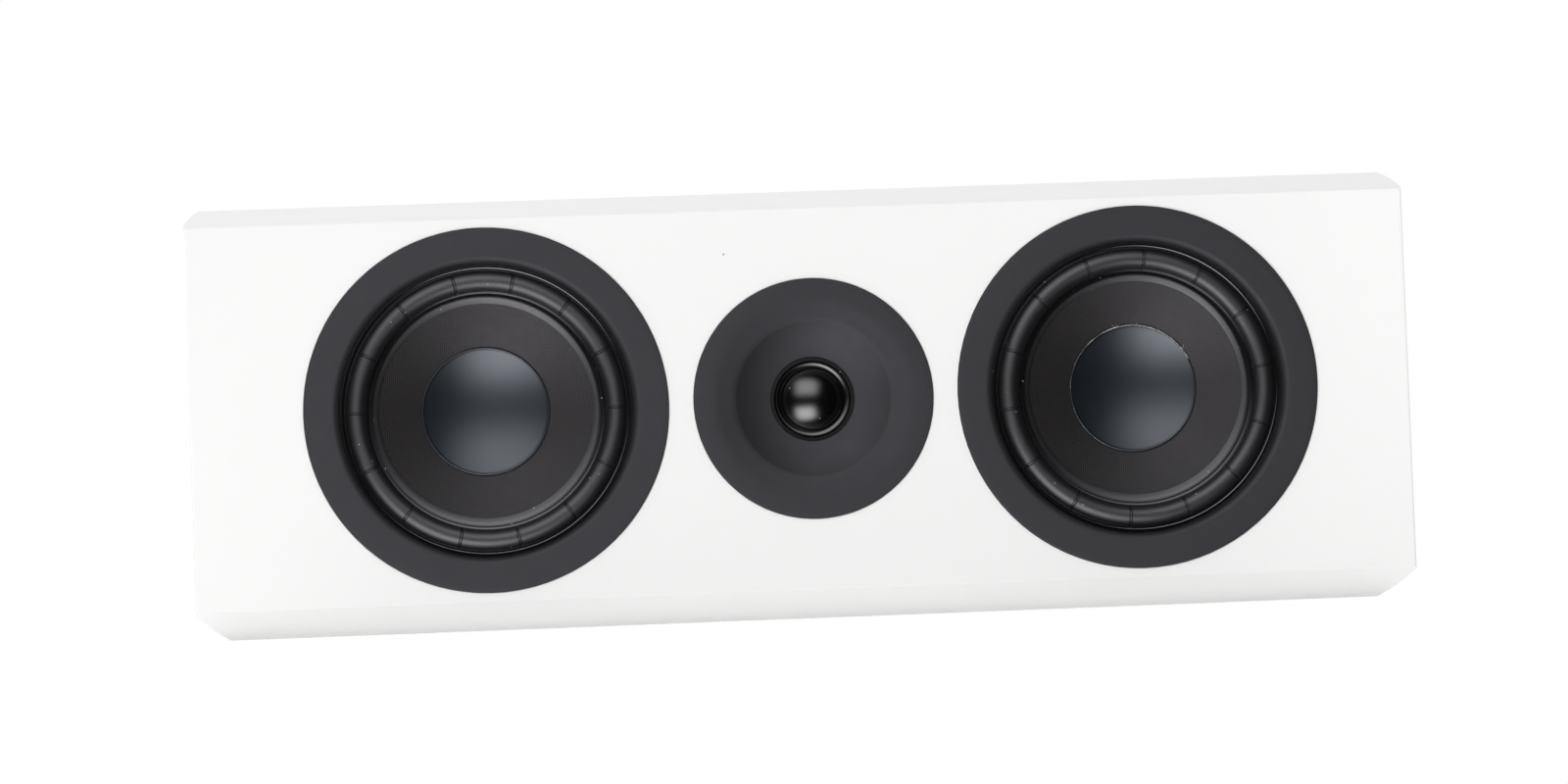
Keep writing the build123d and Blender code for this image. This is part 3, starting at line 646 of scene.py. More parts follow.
def turned_sector(
    name: str,
    outline: Outline,
    place: Matrix,
    angles: Sequence[float],
    dent: Callable[[Point, float], Point],
    seam: Callable[[float], float],
) -> Piece:
    """Sweep a closed outline through part of a turn, and close both ends.

    Args:
        name: Name of the piece.
        outline: The outline, clear of the axis.
        place: The local frame.
        angles: The stations of the sweep, in order.
        dent: Moves a point of the outline at a station.
        seam: How far a point at a radius belongs to a seam, from 0 to 1.

    Returns:
        The piece.
    """
    mesh = bmesh.new()
    seams = mesh.verts.layers.float.new(SEAM_MARK)
    loops = []
    for angle in angles:
        loop = []
        for point in outline.points:
            radius, height = dent(point, angle)
            corner = mesh.verts.new((radius * math.cos(angle), radius * math.sin(angle), height))
            corner[seams] = seam(radius)
            loop.append(corner)
        loops.append(loop)
    count = len(outline.points)
    for near, far in zip(loops, loops[1:]):
        for index in range(count):
            after = (index + 1) % count
            mesh.faces.new((near[index], near[after], far[after], far[index]))
    mesh.faces.new(loops[0])
    mesh.faces.new(loops[-1])
    return finish_mesh(name, mesh, place)


@dataclass
class SoftRing:
    """A flexible ring from a fixed edge to a moving one, built in sectors."""

    name: str
    node: str
    fixed: str
    moving: str
    place: Matrix
    outline: Outline
    fixed_radius: float
    moving_radius: float
    count: int
    first: float = 0.0
    stations: int = 18
    split: int = 1
    crease_half: float = 0.0
    crease_edge: float = 0.0
    crease_depth: float = 0.0
    crease_ease: float = 0.35
    roll_centre: Point = (0.0, 0.0)
    roll_radius: float = 0.0
    seam_outer: float = 1.0
    seam_inner: float = 0.0
    seam_end: float = 0.0
    seam_fade: float = 0.001

    def angles(self, number: int) -> list[float]:
        """Stations of one sector, close together beside its creases."""
        pitch = math.tau / self.count
        start = self.first + number * pitch
        even = [pitch * step / self.stations for step in range(self.stations + 1)]
        if self.crease_half:
            width = self.crease_half / self.roll_centre[0]
            edge = self.crease_edge / self.roll_centre[0]
            near = [0.0, width - edge, width, width + edge]
            head = near if number % self.split == 0 else [0.0]
            tail = near if (number + 1) % self.split == 0 else [0.0]
            even = [step for step in even if head[-1] < step < pitch - tail[-1]]
            even = head + even + [pitch - step for step in reversed(tail)]
        return [start + step for step in even]

    def dent(self, point: Point, angle: float) -> Point:
        """Sink a point of the roll's outer surface into the crease at a station."""
        if not self.crease_depth:
            return point
        away = Vector((point[0] - self.roll_centre[0], point[1] - self.roll_centre[1]))
        if abs(away.length - self.roll_radius) > NEARLY_ZERO or away.y < -NEARLY_ZERO:
            return point
        pitch = math.tau * self.split / self.count
        offset = (angle - self.first + pitch / 2) % pitch - pitch / 2
        gap = abs(offset) * self.roll_centre[0] - self.crease_half
        share = min(1.0, max(0.0, 0.5 - gap / (2 * self.crease_edge)))
        lift = min(1.0, away.y / (self.crease_ease * self.roll_radius))
        sunk = away.normalized() * (self.roll_radius - self.crease_depth * share * lift)
        return self.roll_centre[0] + sunk.x, self.roll_centre[1] + sunk.y

    def seam(self, radius: float) -> float:
        """How far a radius belongs to the seams outside and inside the roll, from 0 to 1."""
        if radius > self.seam_outer:
            return 1.0
        if radius > self.seam_inner:
            return 0.0
        return min(1.0, max(0.0, (radius - self.seam_end) / self.seam_fade))

    def build(self, book: FinishBook, slot: Slot) -> list[Piece]:
        """Build and dress the sectors.

        Args:
            book: The finishes.
            slot: The ring's finish.

        Returns:
            The sectors.
        """
        made = []
        pitch = math.tau / self.count
        for number in range(self.count):
            name = f"{self.name}_{number + 1:02d}"
            piece = turned_sector(name, self.outline, self.place, self.angles(number), self.dent, self.seam)
            book.new(piece, slot)
            middle = self.first + (number + 0.5) * pitch
            out = Vector((math.cos(middle), math.sin(middle), 0.0))
            start = self.place @ (out * self.fixed_radius)
            end = self.place @ (out * self.moving_radius)
            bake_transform(piece)
            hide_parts(self.node)
            made.append(piece)
        return made

    def fixed_limit(self, radius: float) -> float:
        """Radius, along a sector's middle, beyond which every point at that radius stays fixed."""
        return radius * math.cos(math.pi / self.count)


def corners_of(node: str) -> tuple[Vector, Vector]:
    """Lowest and highest corner of a CAD node."""
    low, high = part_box(node)
    return Vector(low), Vector(high)


def middle_of(node: str) -> Vector:
    """Centre of a CAD node's box."""
    low, high = corners_of(node)
    return (low + high) / 2


def front_place(node: str) -> Matrix:
    """Frame of the driver that a node belongs to, with its zero on the cabinet's front."""
    middle = middle_of(node)
    return front_frame(middle.x, corners_of("front_baffle")[0].y, middle.z)


def rear_place(x: float, z: float) -> Matrix:
    """Frame on the cabinet's rear face."""
    return rear_frame(x, corners_of("rear_panel")[1].y, z)


@dataclass
class Woofer:
    """One woofer: trim ring, creased surround, woven cone, dished cap, and the spider behind them."""

    side: Side
    crease_start: float
    trim_radius: float = 0.0743
    trim_opening: float = 0.0600
    trim_top: float = 0.0008
    trim_edge: float = 0.0004
    lip_radius: float = 0.0030
    lip_wall: float = 0.0016
    lip_end: float = -0.0052
    face_thickness: float = 0.0026
    seat: float = -0.0030
    seat_width: float = 0.0031
    flange_radius: float = 0.06185
    ledge: float = -0.0064
    foot: float = -0.0055
    bead_inner: float = 0.0580
    bead_outer: float = 0.0588
    bead_height: float = 0.0007
    roll_outer: float = 0.0573
    roll_inner: float = 0.0485
    roll_wall: float = 0.0012
    valley: float = -0.0075
    seam_width: float = 0.0026
    valley_radius: float = 0.0479
    glue_inner: float = 0.0439
    glue_edge: float = 0.0006
    crease_count: int = 14
    crease_split: int = 2
    roll_stations: int = 12
    crease_width: float = 0.0009
    crease_edge: float = 0.00022
    crease_depth: float = 0.00045
    cone_rim: float = 0.0466
    cone_rim_depth: float = 0.0080
    cone_slope: float = 0.42
    cone_wall: float = 0.0010
    neck: float = 0.0197
    cap_radius: float = 0.0262
    cap_edge: float = 0.0006
    cap_stand: float = 0.0009
    cap_dish: float = 0.0052
    cap_wall: float = 0.0006
    spider_top: float = -0.023298
    spider_collar: float = 0.0030
    spider_shelf: float = 0.0420
    spider_wave: float = 0.0012
    spider_wall: float = 0.0006
    spider_waves: int = 3
    spider_wave_steps: int = 8
    spider_sectors: int = 8

    @property
    def name(self) -> str:
        """Start of the names of the woofer's nodes."""
        return f"{self.side.value}_woofer"

    @property
    def cone_body(self) -> str:
        """The body that the cone moves."""
        return f"{self.side.value}_cone"

    @property
    def place(self) -> Matrix:
        """The woofer's frame."""
        return front_place(f"{self.name}_trim_ring")

    def cone_front(self, radius: float) -> float:
        """Height of the cone's front at a radius."""
        return -self.cone_rim_depth - self.cone_slope * (self.cone_rim - radius)

    def build(self, book: FinishBook) -> list[Piece]:
        """Build and dress the woofer's pieces."""
        made = [self.trim_ring(book), self.cone(book), self.cap(book)]
        made += self.surround().build(book, Slot.SURROUND_RUBBER)
        made += self.spider().build(book, Slot.SPIDER_CLOTH)
        return made

    def trim_ring(self, book: FinishBook) -> Piece:
        """Flat ring with a rounded inner lip, seated in the front board."""
        top = self.trim_top
        lip = self.lip_radius * (1 - math.sqrt(0.5))
        edge = self.trim_edge * (1 - math.sqrt(0.5))
        outline = Outline(self.trim_radius, self.seat).line(self.trim_radius, top - self.trim_edge)
        outline.arc((self.trim_radius - edge, top - edge), (self.trim_radius - self.trim_edge, top), 5)
        outline.line(self.trim_opening + self.lip_radius, top, 4)
        outline.arc((self.trim_opening + lip, top - lip), (self.trim_opening, top - self.lip_radius), 14)
        outline.line(self.trim_opening, self.lip_end)
        outline.line(self.trim_opening + self.lip_wall, self.lip_end)
        outline.line(self.trim_opening + self.lip_wall, top - self.face_thickness)
        outline.line(self.trim_radius - self.seat_width, top - self.face_thickness)
        outline.line(self.trim_radius - self.seat_width, self.seat)
        piece = book.new(turned(f"{self.name}_trim_face", outline, self.place), Slot.TRIM_DARK)
        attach(piece, "cabinet")
        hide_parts(f"{self.name}_trim_ring")
        return piece

    def surround(self) -> SoftRing:
        """The rubber roll, its creases, its bead and its glue band."""
        middle = (self.roll_outer + self.roll_inner) / 2
        half = (self.roll_outer - self.roll_inner) / 2
        crest = self.foot + half
        bead = (self.bead_inner + self.bead_outer) / 2
        glue_top = self.cone_front(self.glue_inner) + self.glue_edge
        span = self.valley_radius - self.glue_inner
        drop = self.valley - glue_top
        curve = (span**2 + drop**2) / (2 * drop)
        tilt = math.asin(span / curve) / 2
        glue_middle = (
            self.valley_radius - curve * math.sin(tilt),
            self.valley - curve * (1 - math.cos(tilt)),
        )
        back = self.valley - self.roll_wall
        outline = Outline(self.flange_radius, self.ledge).line(self.flange_radius, self.foot)
        outline.line(self.bead_outer, self.foot)
        outline.arc((bead, self.foot + self.bead_height), (self.bead_inner, self.foot), 6)
        outline.line(self.roll_outer, self.foot)
        outline.arc((middle, crest), (self.roll_inner, self.foot), 28)
        outline.line(self.roll_inner, self.valley + self.roll_wall / 3)
        outline.line(self.roll_inner - self.roll_wall / 8, self.valley + self.roll_wall / 10)
        outline.line(self.valley_radius, self.valley)
        outline.arc(glue_middle, (self.glue_inner, glue_top), 12)
        outline.line(self.glue_inner, self.cone_front(self.glue_inner))
        outline.line(self.cone_rim, self.cone_front(self.cone_rim))
        outline.line(self.cone_rim, back).line(self.roll_inner + self.roll_wall, back)
        outline.line(self.roll_inner + self.roll_wall, self.foot)
        inside = half - self.roll_wall
        outline.arc((middle, self.foot + inside), (self.roll_outer - self.roll_wall, self.foot), 10)
        outline.line(self.roll_outer - self.roll_wall, self.ledge)
        ring = SoftRing(
            f"{self.name}_roll",
            f"{self.name}_surround",
            "cabinet",
            self.cone_body,
            self.place,
            outline,
            self.roll_outer - self.roll_wall,
            self.valley_radius,
            self.crease_count * self.crease_split,
            math.radians(self.crease_start),
            stations=self.roll_stations,
            split=self.crease_split,
            crease_half=self.crease_width / 2,
            crease_edge=self.crease_edge,
            crease_depth=self.crease_depth,
            roll_centre=(middle, self.foot),
            roll_radius=half,
            seam_outer=self.roll_outer - self.roll_wall / 6,
            seam_inner=self.roll_inner + self.roll_wall / 12,
            seam_end=self.valley_radius - self.seam_width,
            seam_fade=self.seam_width / 2,
        )
        ring.fixed_radius = ring.fixed_limit(self.roll_outer - self.roll_wall)
        return ring

    def cone(self, book: FinishBook) -> Piece:
        """Woven cone from the surround's glue band to the neck."""
        outline = Outline(self.cone_rim, self.cone_front(self.cone_rim))
        outline.line(self.neck, self.cone_front(self.neck), 6)
        outline.line(self.neck, self.cone_front(self.neck) - self.cone_wall)
        outline.line(self.cone_rim, self.cone_front(self.cone_rim) - self.cone_wall, 6)
        piece = book.new(turned(f"{self.name}_cone_weave", outline, self.place), Slot.CONE_WEAVE)
        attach(piece, self.cone_body)
        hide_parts(f"{self.name}_cone")
        return piece

    def cap(self, book: FinishBook) -> Piece:
        """Satin cap, dished inwards, whose upright edge stands on the cone."""
        inner = self.cap_radius - self.cap_edge
        top = self.cone_front(self.cap_radius) + self.cap_stand
        sphere = (inner**2 + self.cap_dish**2) / (2 * self.cap_dish)
        outside = sphere + self.cap_wall
        centre = top - self.cap_dish + sphere
        tilt = math.asin(inner / sphere) / 2
        under = math.asin(inner / outside) / 2
        soft = self.cap_edge / 2
        outline = Outline(0.0, centre - sphere)
        dish = (sphere * math.sin(tilt), centre - sphere * math.cos(tilt))
        outline.arc(dish, (inner, top - soft / 2), 28)
        outline.arc((inner + soft, top), (self.cap_radius, top - soft), 6)
        outline.line(self.cap_radius, self.cone_front(self.cap_radius)).line(inner, self.cone_front(inner))
        outline.line(inner, centre - outside * math.cos(2 * under))
        belly = (outside * math.sin(under), centre - outside * math.cos(under))
        outline.arc(belly, (0.0, centre - outside), 12)
        piece = book.new(turned(f"{self.name}_cap_dish", outline, self.place), Slot.CAP_SATIN)
        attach(piece, self.cone_body)
        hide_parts(f"{self.name}_dust_cap")
        return piece

    def spider(self) -> SoftRing:
        """Corrugated cloth disc between the coil former and the basket's shelf."""
        first = self.neck + self.spider_collar
        pitch = (self.spider_shelf - first) / (2 * self.spider_waves)
        steps = self.spider_wave_steps
        outline = Outline(self.neck, self.spider_top).line(first, self.spider_top)
        for wave in range(self.spider_waves):
            for step in range(1, 2 * steps + 1):
                radius = first + (2 * wave + step / steps) * pitch
                lift = self.spider_wave * (1 - math.cos(math.pi * step / steps)) / 2
                outline.line(radius, self.spider_top + lift)
        outline.line(self.spider_shelf + self.spider_collar, self.spider_top)
        for radius, height in reversed(outline.points[:]):
            outline.line(radius, height - self.spider_wall)
        ring = SoftRing(
            f"{self.name}_spider_cloth",
            f"{self.name}_spider",
            "cabinet",
            self.cone_body,
            self.place,
            outline,
            self.spider_shelf,
            first,
            self.spider_sectors,
        )
        ring.fixed_radius = ring.fixed_limit(self.spider_shelf)
        return ring


@dataclass
class CapLint:
    """A thin, broken bead of pale glue along part of a cap's edge, and loose fibres caught in it."""

    woofer: Woofer
    seed: int = 11
    start: float = 26.0
    end: float = 242.0
    thick_end: float = 112.0
    bead_steps: int = 900
    bead_radius: float = 0.00022
    bead_wander: float = 0.00012
    clump_size: float = 1.4
    clump_swing: float = 1.4
    gap_level: float = 0.5
    thin_share: float = 0.5
    fibre_count: int = 110
    fibre_length: float = 0.0006
    stray_share: float = 0.06
    stray_length: float = 0.0022
    fibre_radius: float = 0.00007
    fibre_joints: int = 5
    fibre_crowding: float = 0.8
    fibre_shortest: float = 0.5
    fibre_lean: Point = (-0.4, 0.8)
    stray_lean: Point = (0.5, 1.3)
    fibre_rise: float = 0.5
    fibre_bend: float = 0.5
    fibre_taper: float = 0.6
    tip: float = 0.2
    thinning: float = 3.0
    slow_scale: float = 6.0
    slow_row: float = 5.0
    wander_rate: float = 80.0
    wander_row: float = 3.0
    sides: int = 5

    def build(self, book: FinishBook) -> list[Piece]:
        """Build and dress the bead and its fibres, as one piece on the cone.

        Args:
            book: The finishes.

        Returns:
            The piece, alone in a list.
        """
        mesh = bmesh.new()
        self.bead(mesh)
        self.fibres(mesh, random.Random(self.seed))
        piece = finish_mesh(f"{self.woofer.name}_cap_lint", mesh, self.woofer.place)
        book.new(piece, Slot.WADDING)
        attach(piece, self.woofer.cone_body)
        return [piece]

    def spot(self, angle: float, out: float = 0.0) -> Vector:
        """A point on the cap's outer edge, moved out by a small amount."""
        radius = self.woofer.cap_radius - self.woofer.cap_edge / 4 + out
        height = self.woofer.cone_front(self.woofer.cap_radius) + self.woofer.cap_stand
        return Vector((radius * math.cos(angle), radius * math.sin(angle), height))

    def weight(self, angle: float) -> float:
        """How much glue there is at an angle: most on the upper right, little on the left."""
        past = max(0.0, math.degrees(angle) - self.thick_end) / (self.end - self.thick_end)
        return 1.0 - (1.0 - self.thin_share) * min(1.0, self.thinning * past)

    def wander(self, angle: float) -> float:
        """How far the bead strays outwards at an angle."""
        return self.bead_wander * noise.noise(Vector((self.wander_rate * angle, self.wander_row, 0.0)))

    def bead(self, mesh: bmesh.types.BMesh) -> None:
        """Add the bead, as runs that end where its thickness falls to nothing."""
        run: list[tuple[float, float]] = []
        for step in range(self.bead_steps + 1):
            angle = math.radians(self.start + (self.end - self.start) * step / self.bead_steps)
            clump = noise.noise(Vector((math.degrees(angle) / self.clump_size, self.seed, 0.0)))
            slow_size = self.slow_scale * self.clump_size
            slow = noise.noise(Vector((math.degrees(angle) / slow_size, self.seed, self.slow_row)))
            share = self.weight(angle)
            level = share - self.gap_level + self.clump_swing * clump + slow
            thickness = self.bead_radius * share * level
            if thickness > 0 and step < self.bead_steps:
                run.append((angle, thickness))
                continue
            if len(run) > 2:
                path = [self.spot(a, self.wander(a)) for a, _ in run]
                self.thread(mesh, path, [thick for _, thick in run])
            run = []

    def fibres(self, mesh: bmesh.types.BMesh, draw: random.Random) -> None:
        """Add short fibres along the edge, and a few longer ones that stand off it."""
        for _ in range(self.fibre_count):
            spread = draw.random() ** self.fibre_crowding
            angle = math.radians(self.start + (self.thick_end - self.start) * spread)
            along = Vector((-math.sin(angle), math.cos(angle), 0.0))
            out = Vector((math.cos(angle), math.sin(angle), 0.0))
            stray = draw.random() < self.stray_share
            longest = self.stray_length if stray else self.fibre_length
            length = longest * draw.uniform(self.fibre_shortest, 1.0)
            lean = draw.uniform(*(self.stray_lean if stray else self.fibre_lean))
            way = along * draw.choice((-1.0, 1.0))
            rise = Vector((0.0, 0.0, draw.uniform(0.0, self.fibre_rise)))
            heading = (way + out * lean + rise).normalized()
            bend = out * draw.uniform(-self.fibre_bend, self.fibre_bend)
            path = []
            taper = []
            for joint in range(self.fibre_joints):
                share = joint / (self.fibre_joints - 1)
                path.append(self.spot(angle) + length * share * (heading + bend * share))
                taper.append(self.fibre_radius * (1.0 - self.fibre_taper * joint / self.fibre_joints))
            self.thread(mesh, path, taper)

    def thread(self, mesh: bmesh.types.BMesh, path: Sequence[Vector], radii: Sequence[float]) -> None:
        """Add a round thread along a path.

        Args:
            mesh: The mesh under construction.
            path: Points along the thread's middle.
            radii: Its radius at each point.
        """
        turns = [math.tau * corner / self.sides for corner in range(self.sides)]
        rings: list[list[Vector]] = [[path[0] - (path[1] - path[0]) * self.tip]]
        for index, (point, radius) in enumerate(zip(path, radii)):
            ahead = path[min(index + 1, len(path) - 1)] - path[max(index - 1, 0)]
            side = ahead.cross(Vector((0.0, 0.0, 1.0))).normalized()
            up = side.cross(ahead.normalized())
            rings.append([point + radius * (math.cos(turn) * side + math.sin(turn) * up) for turn in turns])
        rings.append([path[-1] + (path[-1] - path[-2]) * self.tip])
        add_loft(mesh, rings, closed=False)


@dataclass
class Tweeter:
    """The tweeter: dished front plate, soft roll and coated dome."""

    body: str = "tweeter_dome_coil"
    top: float = 0.0008
    edge: float = 0.0004
    radius: float = 0.0491
    rim_inner: float = 0.0410
    break_radius: float = 0.0320
    break_height: float = -0.0007
    throat_radius: float = 0.0174
    throat: float = -0.0062
    hollow: float = 0.0007
    seat: float = -0.0030
    body_radius: float = 0.0440
    back: float = -0.0086
    foot: float = -0.0080
    dome_radius: float = 0.0130
    dome_height: float = 0.0059
    dome_wall: float = 0.0005
    roll_crest: float = 0.0151
    roll_ease: float = 0.2
    roll_edge: float = 0.0158
    roll_height: float = 0.0012
    roll_wall: float = 0.0005
    flange_radius: float = 0.0200
    pocket_radius: float = 0.0201
    sectors: int = 12
    roll_stations: int = 10
    dome_steps: int = 128

    @property
    def place(self) -> Matrix:
        """The tweeter's frame."""
        return front_place("tweeter_guide")

    def build(self, book: FinishBook) -> list[Piece]:
        """Build and dress the tweeter's pieces."""
        return [self.guide(book), self.dome(book), *self.roll().build(book, Slot.DOME_COATED)]

    def guide(self, book: FinishBook) -> Piece:
        """Front plate: flat rim, gentle shoulder and hollow flare down to the throat."""
        ease = self.edge * (1 - math.sqrt(0.5))
        middle = (self.break_radius + self.throat_radius) / 2
        depth = (self.break_height + self.throat) / 2 - self.hollow
        outline = Outline(self.radius, self.seat).line(self.radius, self.top - self.edge)
        outline.arc((self.radius - ease, self.top - ease), (self.radius - self.edge, self.top), 5)
        outline.line(self.rim_inner, self.top, 3).line(self.break_radius, self.break_height, 4)
        outline.arc((middle, depth), (self.throat_radius, self.throat), 24)
        outline.line(self.throat_radius, self.foot).line(self.pocket_radius, self.foot)
        outline.line(self.pocket_radius, self.back).line(self.body_radius, self.back)
        outline.line(self.body_radius, self.seat)
        piece = book.new(turned("tweeter_front_plate", outline, self.place), Slot.TRIM_DARK)
        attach(piece, "cabinet")
        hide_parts("tweeter_guide")
        return piece

    def dome(self, book: FinishBook) -> Piece:
        """Thin coated dome."""
        sphere = (self.dome_radius**2 + self.dome_height**2) / (2 * self.dome_height)
        inside = sphere - self.dome_wall
        centre = self.back + self.dome_height - sphere
        inner = math.sqrt(inside**2 - (self.back - centre) ** 2)
        tilt = math.asin(self.dome_radius / sphere) / 2
        under = math.asin(inner / inside) / 2
        outline = Outline(0.0, centre + sphere)
        crown = (sphere * math.sin(tilt), centre + sphere * math.cos(tilt))
        outline.arc(crown, (self.dome_radius, self.back), 32).line(inner, self.back)
        hollow = (inside * math.sin(under), centre + inside * math.cos(under))
        outline.arc(hollow, (0.0, centre + inside), 16)
        shell = turned("tweeter_dome_shell", outline, self.place, self.dome_steps)
        piece = book.new(shell, Slot.DOME_COATED)
        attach(piece, self.body)
        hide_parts("tweeter_dome")
        return piece

    def roll(self) -> SoftRing:
        """Soft roll round the dome, clamped at its flange."""
        middle = (self.dome_radius + self.roll_edge) / 2
        rise = (self.dome_radius + self.roll_crest) / 2
        crest = self.foot + self.roll_height
        outline = Outline(self.dome_radius, self.back).line(self.dome_radius, self.foot)
        outline.arc((rise, crest - self.roll_height * self.roll_ease), (self.roll_crest, crest), 12)
        outline.line(self.roll_edge, self.foot, 4)
        outline.line(self.flange_radius, self.foot).line(self.flange_radius, self.back)
        outline.line(self.roll_edge - self.roll_wall, self.back)
        under = crest - self.roll_wall
        outline.arc((middle, under), (self.dome_radius + self.roll_wall, self.back), 8)
        ring = SoftRing(
            "tweeter_roll",
            "tweeter_surround",
            "cabinet",
            self.body,
            self.place,
            outline,
            self.roll_edge,
            self.dome_radius + self.roll_wall / 4,
            self.sectors,
            stations=self.roll_stations,
        )
        ring.fixed_radius = ring.fixed_limit(self.roll_edge)
        return ring


@dataclass
class TerminalPanel:
    """What shows on the rear: fluted clamping knobs and cross-headed screws."""

    knob_radius: float = 0.0070
    knob_base: float = 0.0050
    knob_top: float = 0.0190
    knob_bore: float = 0.0036
    knob_chamfer: float = 0.0006
    flute_count: int = 12
    flute_radius: float = 0.0009
    flute_steps: int = 18
    screw_head: float = 0.0030
    screw_shank: float = 0.0014
    screw_head_height: float = 0.0016
    screw_length: float = 0.0110
    screw_across: float = 0.076
    screw_up: float = 0.042
    recess_arm: float = 0.0017
    recess_half_width: float = 0.00042
    recess_depth: float = 0.0010
    screw_steps: int = 48
    screw_turn: float = 17.0
    screw_turn_step: float = 23.0
    recess_taper: float = 0.8
    recess_wall: float = 0.6

    def build(self, book: FinishBook) -> list[Piece]:
        """Build and dress the knobs and the screws."""
        slots = {Post.RED: Slot.KNOB_RED, Post.BLACK: Slot.KNOB_BLACK}
        return [self.knob(book, post, slot) for post, slot in slots.items()] + self.screws(book)

    def flute(self, angle: float) -> float:
        """Share of the knob's radius that is left at an angle, where its flutes cut in."""
        pitch = math.tau / self.flute_count
        offset = (angle + pitch / 2) % pitch - pitch / 2
        reach = self.flute_radius**2 - (self.knob_radius * math.sin(offset)) ** 2
        if reach <= 0:
            return 1.0
        return math.cos(offset) - math.sqrt(reach) / self.knob_radius

    def knob(self, book: FinishBook, post: Post, slot: Slot) -> Piece:
        """Fluted knob, chamfered at both ends and open for the plug."""
        middle = middle_of(f"{post.value}_post_knob")
        steps = self.flute_count * self.flute_steps
        angles = [math.tau * step / steps for step in range(steps)]
        inner = self.knob_radius - self.knob_chamfer
        rows = [
            (inner, self.knob_base, 1.0),
            (self.knob_radius, self.knob_base + self.knob_chamfer, 1.0),
            (self.knob_radius, self.knob_top - self.knob_chamfer, 1.0),
            (inner, self.knob_top, 1.0),
            (self.knob_bore + self.knob_chamfer, self.knob_top, 0.0),
            (self.knob_bore, self.knob_top - self.knob_chamfer, 0.0),
            (self.knob_bore, self.knob_base, 0.0),
        ]
        rings = []
        for radius, height, fluted in rows:
            reaches = [radius * (1 - fluted * (1 - self.flute(angle))) for angle in angles]
            rings.append([(r * math.cos(a), r * math.sin(a), height) for r, a in zip(reaches, angles)])
        piece = lofted(f"{post.value}_clamp_knob", rings, rear_place(middle.x, middle.z))
        book.new(piece, slot)
        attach(piece, f"{post.value}_knob")
        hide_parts(f"{post.value}_post_knob")
        return piece

    def recess(self, angle: float) -> float:
        """Distance from the screw's axis to the edge of its cross recess."""
        fold = abs((angle + math.pi / 4) % (math.pi / 2) - math.pi / 4)
        if self.recess_arm * math.tan(fold) <= self.recess_half_width:
            return self.recess_arm / math.cos(fold)
        return self.recess_half_width / math.sin(fold)

    def screws(self, book: FinishBook) -> list[Piece]:
        """Four countersunk screws with cross recesses."""
        middle = middle_of("terminal_plate")
        angles = [math.tau * (step + 0.5) / self.screw_steps for step in range(self.screw_steps)]
        crown = [(self.recess(angle), angle) for angle in angles]
        rings = [[(0.0, 0.0, -self.screw_length)]]
        for radius, height in (
            (self.screw_shank, -self.screw_length),
            (self.screw_shank, -self.screw_head_height),
            (self.screw_head, 0.0),
        ):
            rings.append([(radius * math.cos(a), radius * math.sin(a), height) for a in angles])
        rings.append([(r * math.cos(a), r * math.sin(a), 0.0) for r, a in crown])
        narrow, sunk = self.recess_taper, -self.recess_wall * self.recess_depth
        rings.append([(narrow * r * math.cos(a), narrow * r * math.sin(a), sunk) for r, a in crown])
        rings.append([(0.0, 0.0, -self.recess_depth)])
        made = []
        for number in range(4):
            x = middle.x + self.screw_across * (number % 2 - 0.5)
            z = middle.z + self.screw_up * (number // 2 - 0.5)
            turn = Matrix.Rotation(math.radians(self.screw_turn + self.screw_turn_step * number), 4, "Z")
            piece = lofted(f"terminal_screw_{number + 1}", rings, rear_place(x, z) @ turn, closed=False)
            book.new(piece, Slot.BLACK_SCREW)
            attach(piece, "cabinet")
            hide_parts("terminal_screws")
            made.append(piece)
        return made


@dataclass
class DampingPads:
    """Two soft pads of wadding on the inside of the rear board."""

    node: str = "damping_pads"
    around: int = 160
    corner: float = 0.16
    waist: float = 0.035
    lumps: float = 0.0022
    lump_size: float = 0.022
    lump_rise: float = 3.0
    profile: tuple[Point, ...] = (
        (0.0, 0.0), (0.9, 0.0), (0.97, 0.12), (0.985, 0.3), (0.97, 0.48), (0.93, 0.63),
        (0.86, 0.75), (0.76, 0.84), (0.62, 0.90), (0.45, 0.93), (0.25, 0.945), (0.0, 0.95),
    )

    def build(self, book: FinishBook) -> list[Piece]:
        """Build and dress one pad in the room of each solid."""
        made = []
        points = [vertex.co.copy() for vertex in frame["nodes"][self.node].data.vertices]
        for side in Side:
            own = [p for p in points if (p.x < 0) == (side is Side.LEFT)]
            low = Vector([min(p[axis] for p in own) for axis in range(3)])
            high = Vector([max(p[axis] for p in own) for axis in range(3)])
            piece = book.new(self.pad(f"{side.value}_wadding_pad", low, high), Slot.WADDING)
            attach(piece, "cabinet")
            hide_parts(self.node)
            made.append(piece)
        return made

    def pad(self, name: str, low: Vector, high: Vector) -> Piece:
        """Crowned pad, flat at its back, whose sides pull in between its corners.

        Args:
            name: Name of the pad.
            low: Lowest corner of its room.
            high: Highest corner of its room.

        Returns:
            The pad.
        """
        middle = (low + high) / 2
        half = (high - low) / 2
        depth = high.y - low.y
        rings = []
        for scale, lift in self.profile:
            count = self.around if scale else 1
            ring = []
            for step in range(count):
                angle = math.tau * step / self.around
                x = math.copysign(abs(math.cos(angle)) ** self.corner, math.cos(angle))
                z = math.copysign(abs(math.sin(angle)) ** self.corner, math.sin(angle))
                pull = 1 - self.waist * (1 - (x * z) ** 2)
                spot = Vector((
                    middle.x + half.x * x * scale * pull,
                    high.y - depth * lift,
                    middle.z + half.z * z * scale * pull,
                ))
                bump = noise.noise(spot / self.lump_size) * self.lumps * min(1.0, self.lump_rise * lift)
                spot.y = min(high.y, max(low.y, spot.y + bump))
                ring.append(spot)
            rings.append(ring)
        return lofted(name, rings, Matrix.Identity(4), closed=False)


